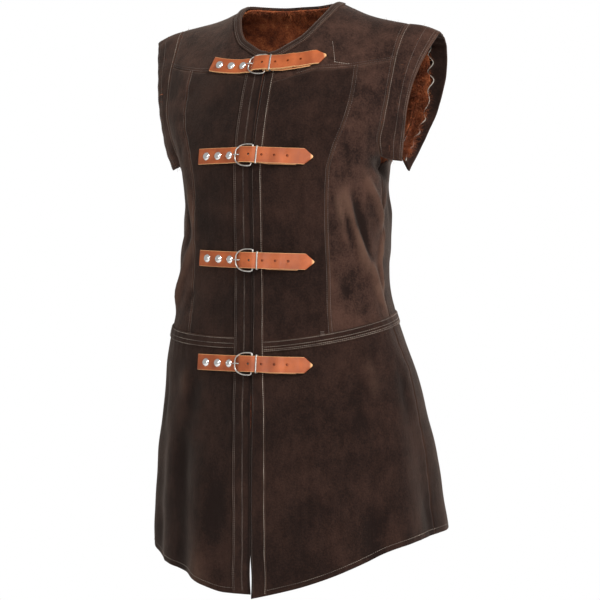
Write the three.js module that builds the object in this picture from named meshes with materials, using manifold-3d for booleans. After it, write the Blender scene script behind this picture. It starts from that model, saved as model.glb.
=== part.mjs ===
// A thigh-length fur-lined suede vest, worn shape, closed at the front by four buckled straps.
// Millimetres. +Z is up, the front faces -Y and the wearer's left is +X.
// The origin lies in the middle of the shoulder line, level with the neck points of the shoulders.
//
// The whole garment hangs on one surface, the outer face of the suede. A place on it is a sheet (front or
// back), a side (+1 is the wearer's left), an angle from that sheet's centre line (0) to the side seam (90),
// and a level. A level below 0 is a drop in mm under the underarm. A level above 0 is the roll in degrees,
// from the underarm (0) over the chest or the shoulder blade to the shoulder line (90).

import * as THREE from "three";
import { mergeVertices } from "three/addons/utils/BufferGeometryUtils.js";
import Module from "manifold-3d";

const wasm = await Module();
wasm.setup();

// ---------------------------------------------------------------- driving sizes
const SUEDE = 1.8; // suede panel
const STRIP = 1.6; // placket, neck band and waist strip, one more layer of suede
const SEAM_GAP = 0.3; // between neighbouring pieces
const FUR_NEAR = 1.5; // clearance from the suede to the lining
const FUR_THICK = 6; // backing and pile together
const UNDERARM_Z = -265;
const CENTRE_GAP = 1.5; // half of the slit between the two fronts
const LEFT_FRONT_DROP = 7; // the left front hangs lower than the right at the centre
const PLACKET_RIGHT = 31;
const NECK_BAND = 13;
const WAIST_STRIP = 18;
const FACING = 1.4;
const FACING_WAVE = 3.2;
const FACING_WAVES = 21;

// Rings of the body below the underarm. square is the superellipse exponent: 2 is an ellipse.
const RINGS = [
  { z: -960, halfWidth: 242, front: 222, back: 166, sideY: -44, square: 2 },
  { z: -842, halfWidth: 237, front: 215, back: 158, sideY: -45, square: 2 },
  { z: -765, halfWidth: 229.5, front: 210, back: 143, sideY: -47, square: 2 },
  { z: -700, halfWidth: 225, front: 204, back: 122, sideY: -53, square: 2 },
  { z: -605, halfWidth: 215, front: 194, back: 86, sideY: -60, square: 2.05 },
  { z: -541, halfWidth: 199, front: 187, back: 62, sideY: -72, square: 2.1 },
  { z: -477, halfWidth: 180, front: 180, back: 51, sideY: -76, square: 2.15 },
  { z: -413, halfWidth: 172, front: 175, back: 57, sideY: -63, square: 2.2 },
  { z: -350, halfWidth: 168.5, front: 172.5, back: 66, sideY: -54, square: 2.2 },
  { z: -300, halfWidth: 170, front: 170.5, back: 72, sideY: -51, square: 2.2 },
  { z: -265, halfWidth: 174, front: 169, back: 74, sideY: -50, square: 2.2 },
];
// Above the underarm: widths against the height share, for the front and for the broader, flatter back.
const CHEST_WIDTHS = [
  { share: 0, front: 174, frontSquare: 2.2, back: 174, backSquare: 2.2 },
  { share: 0.15, front: 187, frontSquare: 2.25, back: 190, backSquare: 2.5 },
  { share: 0.3, front: 204, frontSquare: 2.3, back: 208, backSquare: 2.8 },
  { share: 0.47, front: 216, frontSquare: 2.3, back: 218, backSquare: 3 },
  { share: 0.7, front: 220, frontSquare: 2.3, back: 221, backSquare: 2.8 },
  { share: 1, front: 218, frontSquare: 2.3, back: 218, backSquare: 2.3 },
];
const SHOULDER_LINE = [
  { x: 0, z: 0 },
  { x: 78, z: -4 },
  { x: 100, z: -13 },
  { x: 122, z: -23 },
  { x: 145, z: -31 },
  { x: 175, z: -38.5 },
  { x: 204, z: -45 },
  { x: 260, z: -60 },
];
const FRONT_ROLL = 1.8; // superellipse exponents of the roll from chest and back to the shoulder line
const BACK_ROLL = 2.4;

// Seams and edges. Angles are from the sheet's centre line.
const PRINCESS_SEAM = [
  { level: -300, angle: 38 },
  { level: -165, angle: 42 },
  { level: 0, angle: 42 },
  { level: 30, angle: 41 },
  { level: 46, angle: 39.5 },
];
const YOKE_SEAM = [
  { angle: 0, level: 33 },
  { angle: 20, level: 38 },
  { angle: 40, level: 44.5 },
  { angle: 62, level: 51 },
];
const FRONT_ARMHOLE = [
  { level: 0, angle: 90 },
  { level: 2, angle: 84 },
  { level: 5, angle: 77 },
  { level: 10, angle: 70 },
  { level: 16, angle: 65.5 },
  { level: 24, angle: 62 },
  { level: 35, angle: 60.5 },
  { level: 50, angle: 60 },
  { level: 65, angle: 61 },
  { level: 78, angle: 62.5 },
  { level: 90, angle: 63.3 },
];
const BACK_ARMHOLE = [
  { level: 0, angle: 90 },
  { level: 2, angle: 82 },
  { level: 5, angle: 72 },
  { level: 10, angle: 62 },
  { level: 16, angle: 55 },
  { level: 24, angle: 51.5 },
  { level: 35, angle: 51 },
  { level: 50, angle: 53 },
  { level: 65, angle: 56.5 },
  { level: 78, angle: 60.5 },
  { level: 90, angle: 63.3 },
];
const FRONT_NECK = [
  { level: 46.2, angle: 0 },
  { level: 47.3, angle: 3.6 },
  { level: 49.8, angle: 7.3 },
  { level: 55, angle: 13.3 },
  { level: 64.7, angle: 17.7 },
  { level: 73.7, angle: 20 },
  { level: 90, angle: 21 },
];
const BACK_NECK = [
  { angle: 0, level: 73 },
  { angle: 7, level: 74 },
  { angle: 13, level: 77 },
  { angle: 18, level: 82 },
  { angle: 21, level: 90 },
];
// The hem's height against the angle right round, 0 at the front centre and 180 at the back, on either side.
const HEM = [
  { turn: 0, right: -928, left: -928 },
  { turn: 12, right: -926, left: -918 },
  { turn: 20, right: -916, left: -911 },
  { turn: 30, right: -900, left: -900 },
  { turn: 45, right: -888, left: -881 },
  { turn: 60, right: -877, left: -863 },
  { turn: 75, right: -862, left: -854 },
  { turn: 90, right: -853, left: -849 },
  { turn: 110, right: -847, left: -845 },
  { turn: 180, right: -846, left: -846 },
];
const WAIST_FRONT_Z = -528;
const WAIST_RISE = 32; // the waist seam climbs this much from the front centre
const WAIST_RISE_TURN = 130; // and levels out at this angle

// Ridges that stand out of the surface: from one end to the other, as angle right round and height.
const RIDGES = [
  { side: 1, turn0: 52, z0: -300, turn1: 80, z1: -478, height: 5, width: 22 },
  { side: 1, turn0: 66, z0: -292, turn1: 90, z1: -372, height: 5, width: 20 },
  { side: -1, turn0: 52, z0: -362, turn1: 66, z1: -500, height: 5, width: 20 },
  { side: -1, turn0: 72, z0: -305, turn1: 84, z1: -430, height: 5, width: 20 },
  { side: 1, turn0: 110, z0: -300, turn1: 128, z1: -440, height: 6, width: 24 },
  { side: -1, turn0: 112, z0: -310, turn1: 132, z1: -450, height: 6, width: 24 },
  { side: -1, turn0: 22, z0: -640, turn1: 22, z1: -1000, height: 10, width: 25 },
  { side: -1, turn0: 48, z0: -620, turn1: 46, z1: -1000, height: 7, width: 24 },
  { side: -1, turn0: 74, z0: -620, turn1: 70, z1: -1000, height: 10, width: 30 },
  { side: 1, turn0: 36, z0: -680, turn1: 34, z1: -1000, height: 6, width: 30 },
  { side: 1, turn0: 66, z0: -640, turn1: 68, z1: -1000, height: 7, width: 30 },
  { side: 1, turn0: 100, z0: -600, turn1: 104, z1: -1000, height: 9, width: 30 },
  { side: 1, turn0: 138, z0: -600, turn1: 140, z1: -1000, height: 10, width: 32 },
  { side: -1, turn0: 120, z0: -600, turn1: 122, z1: -1000, height: 10, width: 30 },
  { side: -1, turn0: 158, z0: -600, turn1: 158, z1: -1000, height: 9, width: 30 },
];
const RIDGE_ARM = 165; // mm of girth for one radian of turn, near enough for placing ridges

// ---------------------------------------------------------------- small helpers
const RAD = Math.PI / 180;
const clamp = (v, low, high) => Math.min(high, Math.max(low, v));
const smooth = (v) => {
  const s = clamp(v, 0, 1);
  return s * s * (3 - 2 * s);
};

// Smooth look-up of one column of a table that is sorted by its key, flat past both ends.
function look(table, key, column, at) {
  const rows = table[0][key] < table[table.length - 1][key] ? table : [...table].reverse();
  const last = rows.length - 1;
  if (at <= rows[0][key]) return rows[0][column];
  if (at >= rows[last][key]) return rows[last][column];
  let i = 0;
  while (rows[i + 1][key] < at) i++;
  const step = (k) => (rows[k + 1][column] - rows[k][column]) / (rows[k + 1][key] - rows[k][key]);
  const slope = (k) => {
    if (k === 0 || k === last) return step(Math.min(k, last - 1));
    const a = step(k - 1);
    const b = step(k);
    return a * b <= 0 ? 0 : (2 * a * b) / (a + b);
  };
  const width = rows[i + 1][key] - rows[i][key];
  const t = (at - rows[i][key]) / width;
  const t2 = t * t;
  const t3 = t2 * t;
  return (
    (2 * t3 - 3 * t2 + 1) * rows[i][column] +
    (t3 - 2 * t2 + t) * width * slope(i) +
    (3 * t2 - 2 * t3) * rows[i + 1][column] +
    (t3 - t2) * width * slope(i + 1)
  );
}

// The point of a unit superellipse in the direction of an angle, as { along: sine part, across: cosine part }.
function rounded(angle, square) {
  const s = Math.sin(angle * RAD);
  const c = Math.cos(angle * RAD);
  const reach = (Math.abs(s) ** square + Math.abs(c) ** square) ** (-1 / square);
  return { along: s * reach, across: c * reach };
}

// ---------------------------------------------------------------- the surface
function sectionAt(sheet, level) {
  if (level <= 0) {
    const z = UNDERARM_Z + level;
    const get = (column) => look(RINGS, "z", column, z);
    const sideY = get("sideY");
    const reach = sheet === "front" ? get("front") + sideY : get("back") - sideY;
    return { share: 0, z, halfWidth: get("halfWidth"), reach, sideY, square: get("square") };
  }
  const roll = rounded(level, sheet === "front" ? FRONT_ROLL : BACK_ROLL);
  const base = sectionAt(sheet, 0);
  const share = roll.along;
  return {
    share,
    z: UNDERARM_Z,
    halfWidth: look(CHEST_WIDTHS, "share", sheet, share),
    reach: base.reach * roll.across,
    sideY: base.sideY * (1 - share),
    square: look(CHEST_WIDTHS, "share", `${sheet}Square`, share),
  };
}

// Point on the smooth surface, on the wearer's left.
function plainPoint(sheet, angle, level) {
  const section = sectionAt(sheet, level);
  const plan = rounded(angle, section.square);
  const x = section.halfWidth * plan.along;
  const out = section.reach * plan.across;
  const climb = section.share * (look(SHOULDER_LINE, "x", "z", Math.abs(x)) - UNDERARM_Z);
  return new THREE.Vector3(x, section.sideY + (sheet === "front" ? -out : out), section.z + climb);
}

function plainNormal(sheet, angle, level) {
  const top = Math.min(level, 88.5);
  const around = plainPoint(sheet, angle + 0.3, top).sub(plainPoint(sheet, angle - 0.3, top));
  const up = plainPoint(sheet, angle, top + 0.4).sub(plainPoint(sheet, angle, top - 0.4));
  const normal = around.cross(up).normalize();
  return sheet === "front" ? normal : normal.negate();
}

// How far the ridges lift the suede at a place.
function ridgeLift(sheet, side, angle, z) {
  const turn = sheet === "front" ? angle : 180 - angle;
  let lift = 0;
  for (const ridge of RIDGES) {
    if (ridge.side !== side) continue;
    const dx = (ridge.turn1 - ridge.turn0) * RAD * RIDGE_ARM;
    const dz = ridge.z1 - ridge.z0;
    const px = (turn - ridge.turn0) * RAD * RIDGE_ARM;
    const pz = z - ridge.z0;
    const length = Math.hypot(dx, dz);
    const t = clamp((px * dx + pz * dz) / length ** 2, 0, 1);
    const off = Math.hypot(px - t * dx, pz - t * dz) / ridge.width;
    const atHem = ridge.z1 < -960 ? 1 : smooth((1 - t) * 3);
    lift += ridge.height * Math.exp(-off * off) * smooth(t * 3) * atHem;
  }
  return lift;
}

// Point at a distance outside the surface. ridged is 1 for what follows the suede's ridges and 0 for the lining.
function place(sheet, side, angle, level, outside, ridged = 1) {
  const point = plainPoint(sheet, angle, level);
  const lift = ridged * ridgeLift(sheet, side, angle, point.z);
  point.addScaledVector(plainNormal(sheet, angle, level), outside + lift);
  if (side > 0 && sheet === "front")
    point.z -= LEFT_FRONT_DROP * smooth((-point.z - 60) / 70) * (1 - smooth(angle / 75));
  point.x *= side;
  return point;
}

// ---------------------------------------------------------------- closed walls from grids
// pointAt(column, row, face) gives the grid's point on face 1 (outer) or 0 (inner).
function wallGeometry(columns, rows, pointAt, flip) {
  const positions = [];
  const index = [];
  const at = (i, j, face) => face * (columns + 1) * (rows + 1) + j * (columns + 1) + i;
  for (const face of [0, 1])
    for (let j = 0; j <= rows; j++)
      for (let i = 0; i <= columns; i++) positions.push(...pointAt(i, j, face).toArray());
  const quad = (a, b, c, d) => {
    if (flip) index.push(a, c, b, a, d, c);
    else index.push(a, b, c, a, c, d);
  };
  for (let j = 0; j < rows; j++)
    for (let i = 0; i < columns; i++) {
      quad(at(i, j, 1), at(i + 1, j, 1), at(i + 1, j + 1, 1), at(i, j + 1, 1));
      quad(at(i, j, 0), at(i, j + 1, 0), at(i + 1, j + 1, 0), at(i + 1, j, 0));
    }
  for (let i = 0; i < columns; i++) {
    quad(at(i, 0, 0), at(i + 1, 0, 0), at(i + 1, 0, 1), at(i, 0, 1));
    quad(at(i, rows, 0), at(i, rows, 1), at(i + 1, rows, 1), at(i + 1, rows, 0));
  }
  for (let j = 0; j < rows; j++) {
    quad(at(0, j, 0), at(0, j, 1), at(0, j + 1, 1), at(0, j + 1, 0));
    quad(at(columns, j, 0), at(columns, j + 1, 0), at(columns, j + 1, 1), at(columns, j, 1));
  }
  const geometry = new THREE.BufferGeometry();
  geometry.setAttribute("position", new THREE.Float32BufferAttribute(positions, 3));
  geometry.setIndex(index);
  return geometry;
}

// The right shoulder and its band sit higher than the left.
const RIGHT_SHOULDER_LIFT = 11;
function liftRightShoulder(geometry) {
  const spots = geometry.attributes.position;
  for (let i = 0; i < spots.count; i++) {
    const away = smooth((-spots.getX(i) - 40) / 180);
    const z = spots.getZ(i);
    spots.setZ(i, z + RIGHT_SHOULDER_LIFT * away * smooth((z + 170) / 120));
  }
}

const vest = new THREE.Group();
const SUEDE_LOOK = new THREE.MeshStandardMaterial({ color: 0x3a2a22, roughness: 0.95, metalness: 0 });
const FUR_LOOK = new THREE.MeshStandardMaterial({ color: 0x8a3f1c, roughness: 1, metalness: 0 });
const STRAP_LOOK = new THREE.MeshStandardMaterial({ color: 0xc4683a, roughness: 0.55, metalness: 0 });
const METAL_LOOK = new THREE.MeshStandardMaterial({ color: 0xb9b6b0, roughness: 0.3, metalness: 1 });

function addPiece(name, geometry, finish) {
  liftRightShoulder(geometry);
  const mesh = new THREE.Mesh(geometry, finish);
  mesh.name = name;
  vest.add(mesh);
}

// ---------------------------------------------------------------- seam lines
const turnOf = (sheet, angle) => (sheet === "front" ? angle : 180 - angle);
const hemLevel = (sheet, side, angle) =>
  look(HEM, "turn", side < 0 ? "right" : "left", turnOf(sheet, angle)) - UNDERARM_Z;
const waistLevel = (sheet, angle) =>
  WAIST_FRONT_Z + WAIST_RISE * smooth(turnOf(sheet, angle) / WAIST_RISE_TURN) - UNDERARM_Z;
const yokeLevel = (angle) => look(YOKE_SEAM, "angle", "level", angle);
const backTopLevel = (angle) => look(BACK_NECK, "angle", "level", angle);

// The angle at which the sheet is so far from its centre line, in mm.
function angleAcross(sheet, x, level) {
  const section = sectionAt(sheet, level);
  const along = clamp(x / section.halfWidth, 0, 0.999);
  return Math.atan2(along, (1 - along ** section.square) ** (1 / section.square)) / RAD;
}

// The slit opens a little below the waist and again above the hem, between these levels.
const SLIT_OPENINGS = [
  { top: -331, bottom: -425, most: 1 },
  { top: -590, bottom: -676, most: 1.6 },
];
function centreEdge(level) {
  let edge = CENTRE_GAP;
  for (const { top, bottom, most } of SLIT_OPENINGS) {
    const t = clamp((level - bottom) / (top - bottom), 0, 1);
    edge += most * Math.sin(Math.PI * t) ** 2;
  }
  return edge;
}
const placketWidth = (side, level) => (side < 0 ? PLACKET_RIGHT : 18 + 8 * smooth((-level - 120) / 420));

// The front's inner edge: the slit up to the neck, then the neck line.
const centreAngle = (level) =>
  Math.max(
    angleAcross("front", centreEdge(level), level),
    level > FRONT_NECK[0].level ? look(FRONT_NECK, "level", "angle", level) : 0,
  );
const placketAngle = (side, level) =>
  angleAcross("front", centreEdge(level) + placketWidth(side, level), level);
const princessAngle = (level) => look(PRINCESS_SEAM, "level", "angle", level);
const armhole = (sheet) => (sheet === "front" ? FRONT_ARMHOLE : BACK_ARMHOLE);
const sideAngle = (sheet, level) => (level <= 0 ? 90 : look(armhole(sheet), "level", "angle", level));

// Where a column and a row cross. Seams lean with the height and heights with the angle, so both are
// settled together.
function crossing(columnAngle, rowLevel) {
  let angle = 40;
  let level = 0;
  for (let i = 0; i < 8; i++) {
    level = rowLevel(angle);
    angle = columnAngle(level);
  }
  return { angle, level };
}

// ---------------------------------------------------------------- suede panels
// Rows of each part as shares of its height. Above the waist they crowd just above the underarm.
const SKIRT_ROWS = 8;
const FRONT_ROWS = [0, 0.09, 0.18, 0.27, 0.36, 0.45, 0.543, 0.561, 0.588, 0.633, 0.686, 0.758, 0.87, 1];
const YOKE_ROWS = [0, 0.12, 0.232, 0.32, 0.43, 0.56, 0.7, 0.85, 1];
const BACK_ROWS = [
  0, 0.067, 0.134, 0.201, 0.268, 0.336, 0.403, 0.416, 0.443, 0.482, 0.552, 0.635, 0.718, 0.8, 0.88, 0.95, 1,
];
const YOKE_ROW = SKIRT_ROWS + FRONT_ROWS.length - 1; // rows are numbered through from the hem
const FRONT_TOP = YOKE_ROW + YOKE_ROWS.length - 1;
const BACK_TOP = SKIRT_ROWS + BACK_ROWS.length - 1;
const PLACKET_COLUMN = 2;
const PRINCESS_COLUMN = 6;
const SIDE_COLUMN = 11;
const BACK_COLUMN = 9; // the side seam's column, counted from the centre back
const ROLL_MM = 4; // a degree of roll is about this much height
const HIGH_CHEST = 42; // level at which the yoke takes over the columns of the panels below it

const mix = (a, b, t) => a + (b - a) * t;
const inMm = (level) => (level > 0 ? level * ROLL_MM : level);
const asLevel = (mm) => (mm > 0 ? mm / ROLL_MM : mm);
const mixLevels = (low, high, share) => asLevel(mix(inMm(low), inMm(high), share));
const raise = (level, mm) => asLevel(inMm(level) + mm);
const count = (from, to, step = 1) => {
  const list = [];
  for (let k = from; k < to; k += step) list.push(k);
  return [...list, to];
};

// Column k of a front from the slit (0) over the placket's edge and the princess seam to the side.
function frontColumn(side, k, level, row) {
  if (row > YOKE_ROW) {
    const start = centreAngle(HIGH_CHEST);
    const share = (frontColumn(side, k, HIGH_CHEST, 0) - start) / (sideAngle("front", HIGH_CHEST) - start);
    return mix(centreAngle(level), sideAngle("front", level), share);
  }
  if (k <= PLACKET_COLUMN) return mix(centreAngle(level), placketAngle(side, level), k / PLACKET_COLUMN);
  if (k <= PRINCESS_COLUMN) {
    const t = (k - PLACKET_COLUMN) / (PRINCESS_COLUMN - PLACKET_COLUMN);
    return mix(placketAngle(side, level), princessAngle(level), t);
  }
  const t = (k - PRINCESS_COLUMN) / (SIDE_COLUMN - PRINCESS_COLUMN);
  return mix(princessAngle(level), sideAngle("front", level), t);
}

// The level of a row at an angle.
function skirtRow(sheet, row, angle, side) {
  const waist = waistLevel(sheet, angle);
  if (row === SKIRT_ROWS) return waist;
  return mix(hemLevel(sheet, side, angle), waist - WAIST_STRIP, row / (SKIRT_ROWS - 1));
}
function frontRow(row, angle, side) {
  if (row <= SKIRT_ROWS) return skirtRow("front", row, angle, side);
  const yoke = yokeLevel(angle);
  if (row <= YOKE_ROW) return mixLevels(waistLevel("front", angle), yoke, FRONT_ROWS[row - SKIRT_ROWS]);
  return mixLevels(yoke, 90, YOKE_ROWS[row - YOKE_ROW]);
}
function backRow(row, angle, side) {
  if (row <= SKIRT_ROWS) return skirtRow("back", row, angle, side);
  return mixLevels(waistLevel("back", angle), backTopLevel(angle), BACK_ROWS[row - SKIRT_ROWS]);
}

const HALF = SEAM_GAP / 2;
const perDegree = (sheet, angle, level) =>
  plainPoint(sheet, angle + 0.5, level).distanceTo(plainPoint(sheet, Math.max(angle - 0.5, 0), level));

// A panel of one sheet is a grid: sheet, side (0 for both), lists of columns and rows, columnAt(k, level, row),
// rowAt(row, angle, side), outer and inner (distances from the surface), ridged, and trims in mm at its four edges.
function addPanel(name, grid, finish) {
  const { sheet, columns, rows } = grid;
  const lastColumn = columns.length - 1;
  const lastRow = rows.length - 1;
  const trim = { left: HALF, right: HALF, bottom: HALF, top: HALF, ...grid.trim };
  const spots = rows.map((row, j) =>
    columns.map((k, i) => {
      const lift = (j === 0 ? trim.bottom : 0) - (j === lastRow ? trim.top : 0);
      const side = grid.side || (k < 0 ? -1 : 1);
      const spot = crossing(
        (level) => Math.abs(grid.columnAt(k, level, row)),
        (angle) => raise(grid.rowAt(row, angle, side), lift),
      );
      const scale = perDegree(sheet, spot.angle, spot.level);
      if (i === 0) spot.angle += ((grid.side === 0 ? -1 : 1) * trim.left) / scale;
      if (i === lastColumn) spot.angle -= trim.right / scale;
      return { ...spot, side };
    }),
  );
  const pointAt = (i, j, face) => {
    const spot = spots[j][i];
    const outside = face === 1 ? grid.outer : grid.inner;
    return place(sheet, spot.side, spot.angle, spot.level, outside, grid.ridged ?? 1);
  };
  const flip = sheet === "front" ? grid.side < 0 : grid.side >= 0;
  addPiece(name, wallGeometry(lastColumn, lastRow, pointAt, flip), finish);
}

const suedeWall = { outer: 0, inner: -SUEDE };
const stripWall = { outer: SEAM_GAP + STRIP, inner: SEAM_GAP };
const backGrid = {
  sheet: "back",
  side: 0,
  columns: count(-BACK_COLUMN, BACK_COLUMN),
  columnAt: (k, level) => (k / BACK_COLUMN) * sideAngle("back", level),
  rowAt: backRow,
  ...suedeWall,
};
const frontGrid = (side) => ({
  sheet: "front",
  side,
  columns: count(0, SIDE_COLUMN),
  columnAt: (k, level, row) => frontColumn(side, k, level, row),
  rowAt: frontRow,
  ...suedeWall,
});
const SHOULDER_TRIM = 1.4;

for (const side of [-1, 1]) {
  const end = side < 0 ? "r" : "l";
  const bodice = { ...frontGrid(side), rows: count(SKIRT_ROWS, YOKE_ROW) };
  const centreTrim = { left: 0 };
  addPanel(`centre_front_${end}`, { ...bodice, columns: count(0, PRINCESS_COLUMN), trim: centreTrim }, SUEDE_LOOK);
  addPanel(`side_front_${end}`, { ...bodice, columns: count(PRINCESS_COLUMN, SIDE_COLUMN) }, SUEDE_LOOK);
  const yoke = { ...frontGrid(side), rows: count(YOKE_ROW, FRONT_TOP), trim: { left: 0, top: SHOULDER_TRIM } };
  addPanel(`yoke_${end}`, yoke, SUEDE_LOOK);
  const skirt = { ...frontGrid(side), rows: count(0, SKIRT_ROWS), trim: { left: 0, bottom: 0 } };
  addPanel(`skirt_front_${end}`, skirt, SUEDE_LOOK);
  const backHalf = { ...backGrid, side, columns: count(0, BACK_COLUMN) };
  const backTrim = { top: SHOULDER_TRIM };
  addPanel(`back_bodice_${end}`, { ...backHalf, rows: count(SKIRT_ROWS, BACK_TOP), trim: backTrim }, SUEDE_LOOK);
  addPanel(`skirt_back_${end}`, { ...backHalf, rows: count(0, SKIRT_ROWS), trim: { bottom: 0 } }, SUEDE_LOOK);
}

// ---------------------------------------------------------------- strips that lie on the panels
const flatTrim = { left: 0, right: 0, bottom: 0, top: 0 };
const waistRows = [SKIRT_ROWS - 1, SKIRT_ROWS];
const TOP_ROWS = 2;
const bandLevels = (angle) => 4.2 + 0.15 * angle; // degrees of roll that the neck band covers
const neckLevel = (angle) => look(FRONT_NECK, "angle", "level", angle);
// The placket follows the rows of the panels beneath it, and its last row lies along the neck band.
function placketRow(row, angle, side) {
  if (row < YOKE_ROW + TOP_ROWS) return frontRow(row, angle, side);
  return neckLevel(angle) - bandLevels(angle);
}
for (const side of [-1, 1]) {
  const end = side < 0 ? "r" : "l";
  const strip = { ...frontGrid(side), ...stripWall, trim: flatTrim };
  const waistTrim = { ...flatTrim, left: SEAM_GAP, right: HALF };
  const waist = { ...strip, columns: count(PLACKET_COLUMN, SIDE_COLUMN), rows: waistRows, trim: waistTrim };
  addPanel(`waist_strip_${end}`, waist, SUEDE_LOOK);
  const placket = {
    ...strip,
    columns: count(0, PLACKET_COLUMN),
    rows: count(0, YOKE_ROW + TOP_ROWS),
    columnAt: (k, level) => frontColumn(side, k, level, 0),
    rowAt: placketRow,
  };
  addPanel(`placket_${end}`, placket, SUEDE_LOOK);
}
const backStripTrim = { ...flatTrim, left: HALF, right: HALF };
addPanel("waist_strip_back", { ...backGrid, ...stripWall, rows: waistRows, trim: backStripTrim }, SUEDE_LOOK);

// The spot on a sheet that is nearest to a point in space, found from a first guess.
function nearestSpot(sheet, guess, target) {
  const spot = { ...guess };
  for (let i = 0; i < 6; i++) {
    const at = plainPoint(sheet, spot.angle, spot.level);
    const da = plainPoint(sheet, spot.angle + 0.2, spot.level).sub(at).multiplyScalar(5);
    const dl = plainPoint(sheet, spot.angle, spot.level - 0.2).sub(at).multiplyScalar(-5);
    const gap = target.clone().sub(at);
    const [aa, al, ll, ga, gl] = [da.dot(da), da.dot(dl), dl.dot(dl), gap.dot(da), gap.dot(dl)];
    const det = aa * ll - al * al;
    spot.angle = Math.max(0, spot.angle + (ga * ll - gl * al) / det);
    spot.level = Math.min(90, spot.level + (gl * aa - ga * al) / det);
  }
  return spot;
}

// The neck line from the right front round the back to the left front.
function neckLine() {
  const half = [];
  for (const level of [46.2, 46.7, 47.3, 48.4, 49.8, 52, 55, 59, 64, 70, 77, 84, 90])
    half.push({ sheet: "front", level, angle: centreAngle(level) });
  for (const angle of [20.3, 19, 17, 14.5, 11.5, 8, 4])
    half.push({ sheet: "back", angle, level: backTopLevel(angle) });
  const left = half.map((spot) => ({ ...spot, side: 1 }));
  const right = half.map((spot) => ({ ...spot, side: -1 }));
  return [...right, { sheet: "back", side: 1, angle: 0, level: backTopLevel(0) }, ...left.reverse()];
}

function bandGeometry(line, width, rows, wall) {
  const edge = line.map((spot) => {
    const point = plainPoint(spot.sheet, spot.angle, spot.level);
    point.x *= spot.side;
    return point;
  });
  const spots = line.map((spot, i) => {
    const tangent = edge[Math.min(i + 1, edge.length - 1)].clone().sub(edge[Math.max(i - 1, 0)]).normalize();
    const normal = plainNormal(spot.sheet, spot.angle, spot.level);
    normal.x *= spot.side;
    const away = normal.clone().cross(tangent).normalize();
    const steps = [];
    for (let j = 0; j <= rows; j++) {
      const target = edge[i].clone().addScaledVector(away, (width * j) / rows);
      target.x *= spot.side;
      steps.push(j === 0 ? spot : { ...nearestSpot(spot.sheet, spot, target), sheet: spot.sheet, side: spot.side });
    }
    return steps;
  });
  const pointAt = (i, j, face) => {
    const spot = spots[i][j];
    return place(spot.sheet, spot.side, spot.angle, spot.level, face === 1 ? wall.outer : wall.inner);
  };
  return wallGeometry(line.length - 1, rows, pointAt, false);
}
const NECK_LIFT = 0.3; // the neck band stands a little off the curved yoke
const neckWall = { outer: stripWall.outer + NECK_LIFT, inner: stripWall.inner + NECK_LIFT };
addPiece("neck_band", bandGeometry(neckLine(), NECK_BAND, 2, neckWall), SUEDE_LOOK);

// ---------------------------------------------------------------- shoulder bands
// Round the armhole from the front underarm over the shoulder to the back: the seam's level and the outer edge.
const ARM_LOOP = [
  { along: 0, sheet: "front", level: 3, x: 206, y: -50, z: -262 },
  { along: 1, sheet: "front", level: 12, x: 214, y: -57, z: -228 },
  { along: 2, sheet: "front", level: 24, x: 220, y: -58, z: -188 },
  { along: 3, sheet: "front", level: 38, x: 228, y: -51, z: -146 },
  { along: 4, sheet: "front", level: 52, x: 237, y: -33, z: -108 },
  { along: 5, sheet: "front", level: 70, x: 249, y: -8, z: -73 },
  { along: 6, sheet: "front", level: 90, x: 254, y: 6, z: -60 },
  { along: 7, sheet: "back", level: 72, x: 250, y: 26, z: -64 },
  { along: 8, sheet: "back", level: 52, x: 246, y: 48, z: -82 },
  { along: 9, sheet: "back", level: 35, x: 237, y: 60, z: -132 },
  { along: 10, sheet: "back", level: 22, x: 221, y: 60, z: -182 },
  { along: 11, sheet: "back", level: 12, x: 202, y: 49, z: -224 },
  { along: 12, sheet: "back", level: 6, x: 179, y: 28, z: -276 },
];
const ARM_SEAM_GAP = 1.2;
const SHOULDER_TURN = 6; // the row of the table that lies on the shoulder line
const BAND_BOW = 2.5;

// Point of a shoulder band: along the loop, across from the seam (0) to the outer edge (1), and off its outer face.
function bandPoint(along, across, off) {
  const level = look(ARM_LOOP, "along", "level", along);
  const sheet = along <= SHOULDER_TURN ? "front" : "back";
  const seam = place(sheet, 1, sideAngle(sheet, level), level, 0);
  const outer = new THREE.Vector3(
    look(ARM_LOOP, "along", "x", along),
    look(ARM_LOOP, "along", "y", along),
    look(ARM_LOOP, "along", "z", along),
  );
  const width = outer.distanceTo(seam);
  const t = (ARM_SEAM_GAP + (width - ARM_SEAM_GAP) * across) / width;
  const point = seam.clone().lerp(outer, t);
  if (off === null) return point;
  const step = 0.15;
  const tangent = bandPoint(along + step, across, null).sub(bandPoint(along - step, across, null));
  const normal = outer.clone().sub(seam).cross(tangent).normalize();
  return point.addScaledVector(normal, off + BAND_BOW * Math.sin(Math.PI * across));
}

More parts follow.
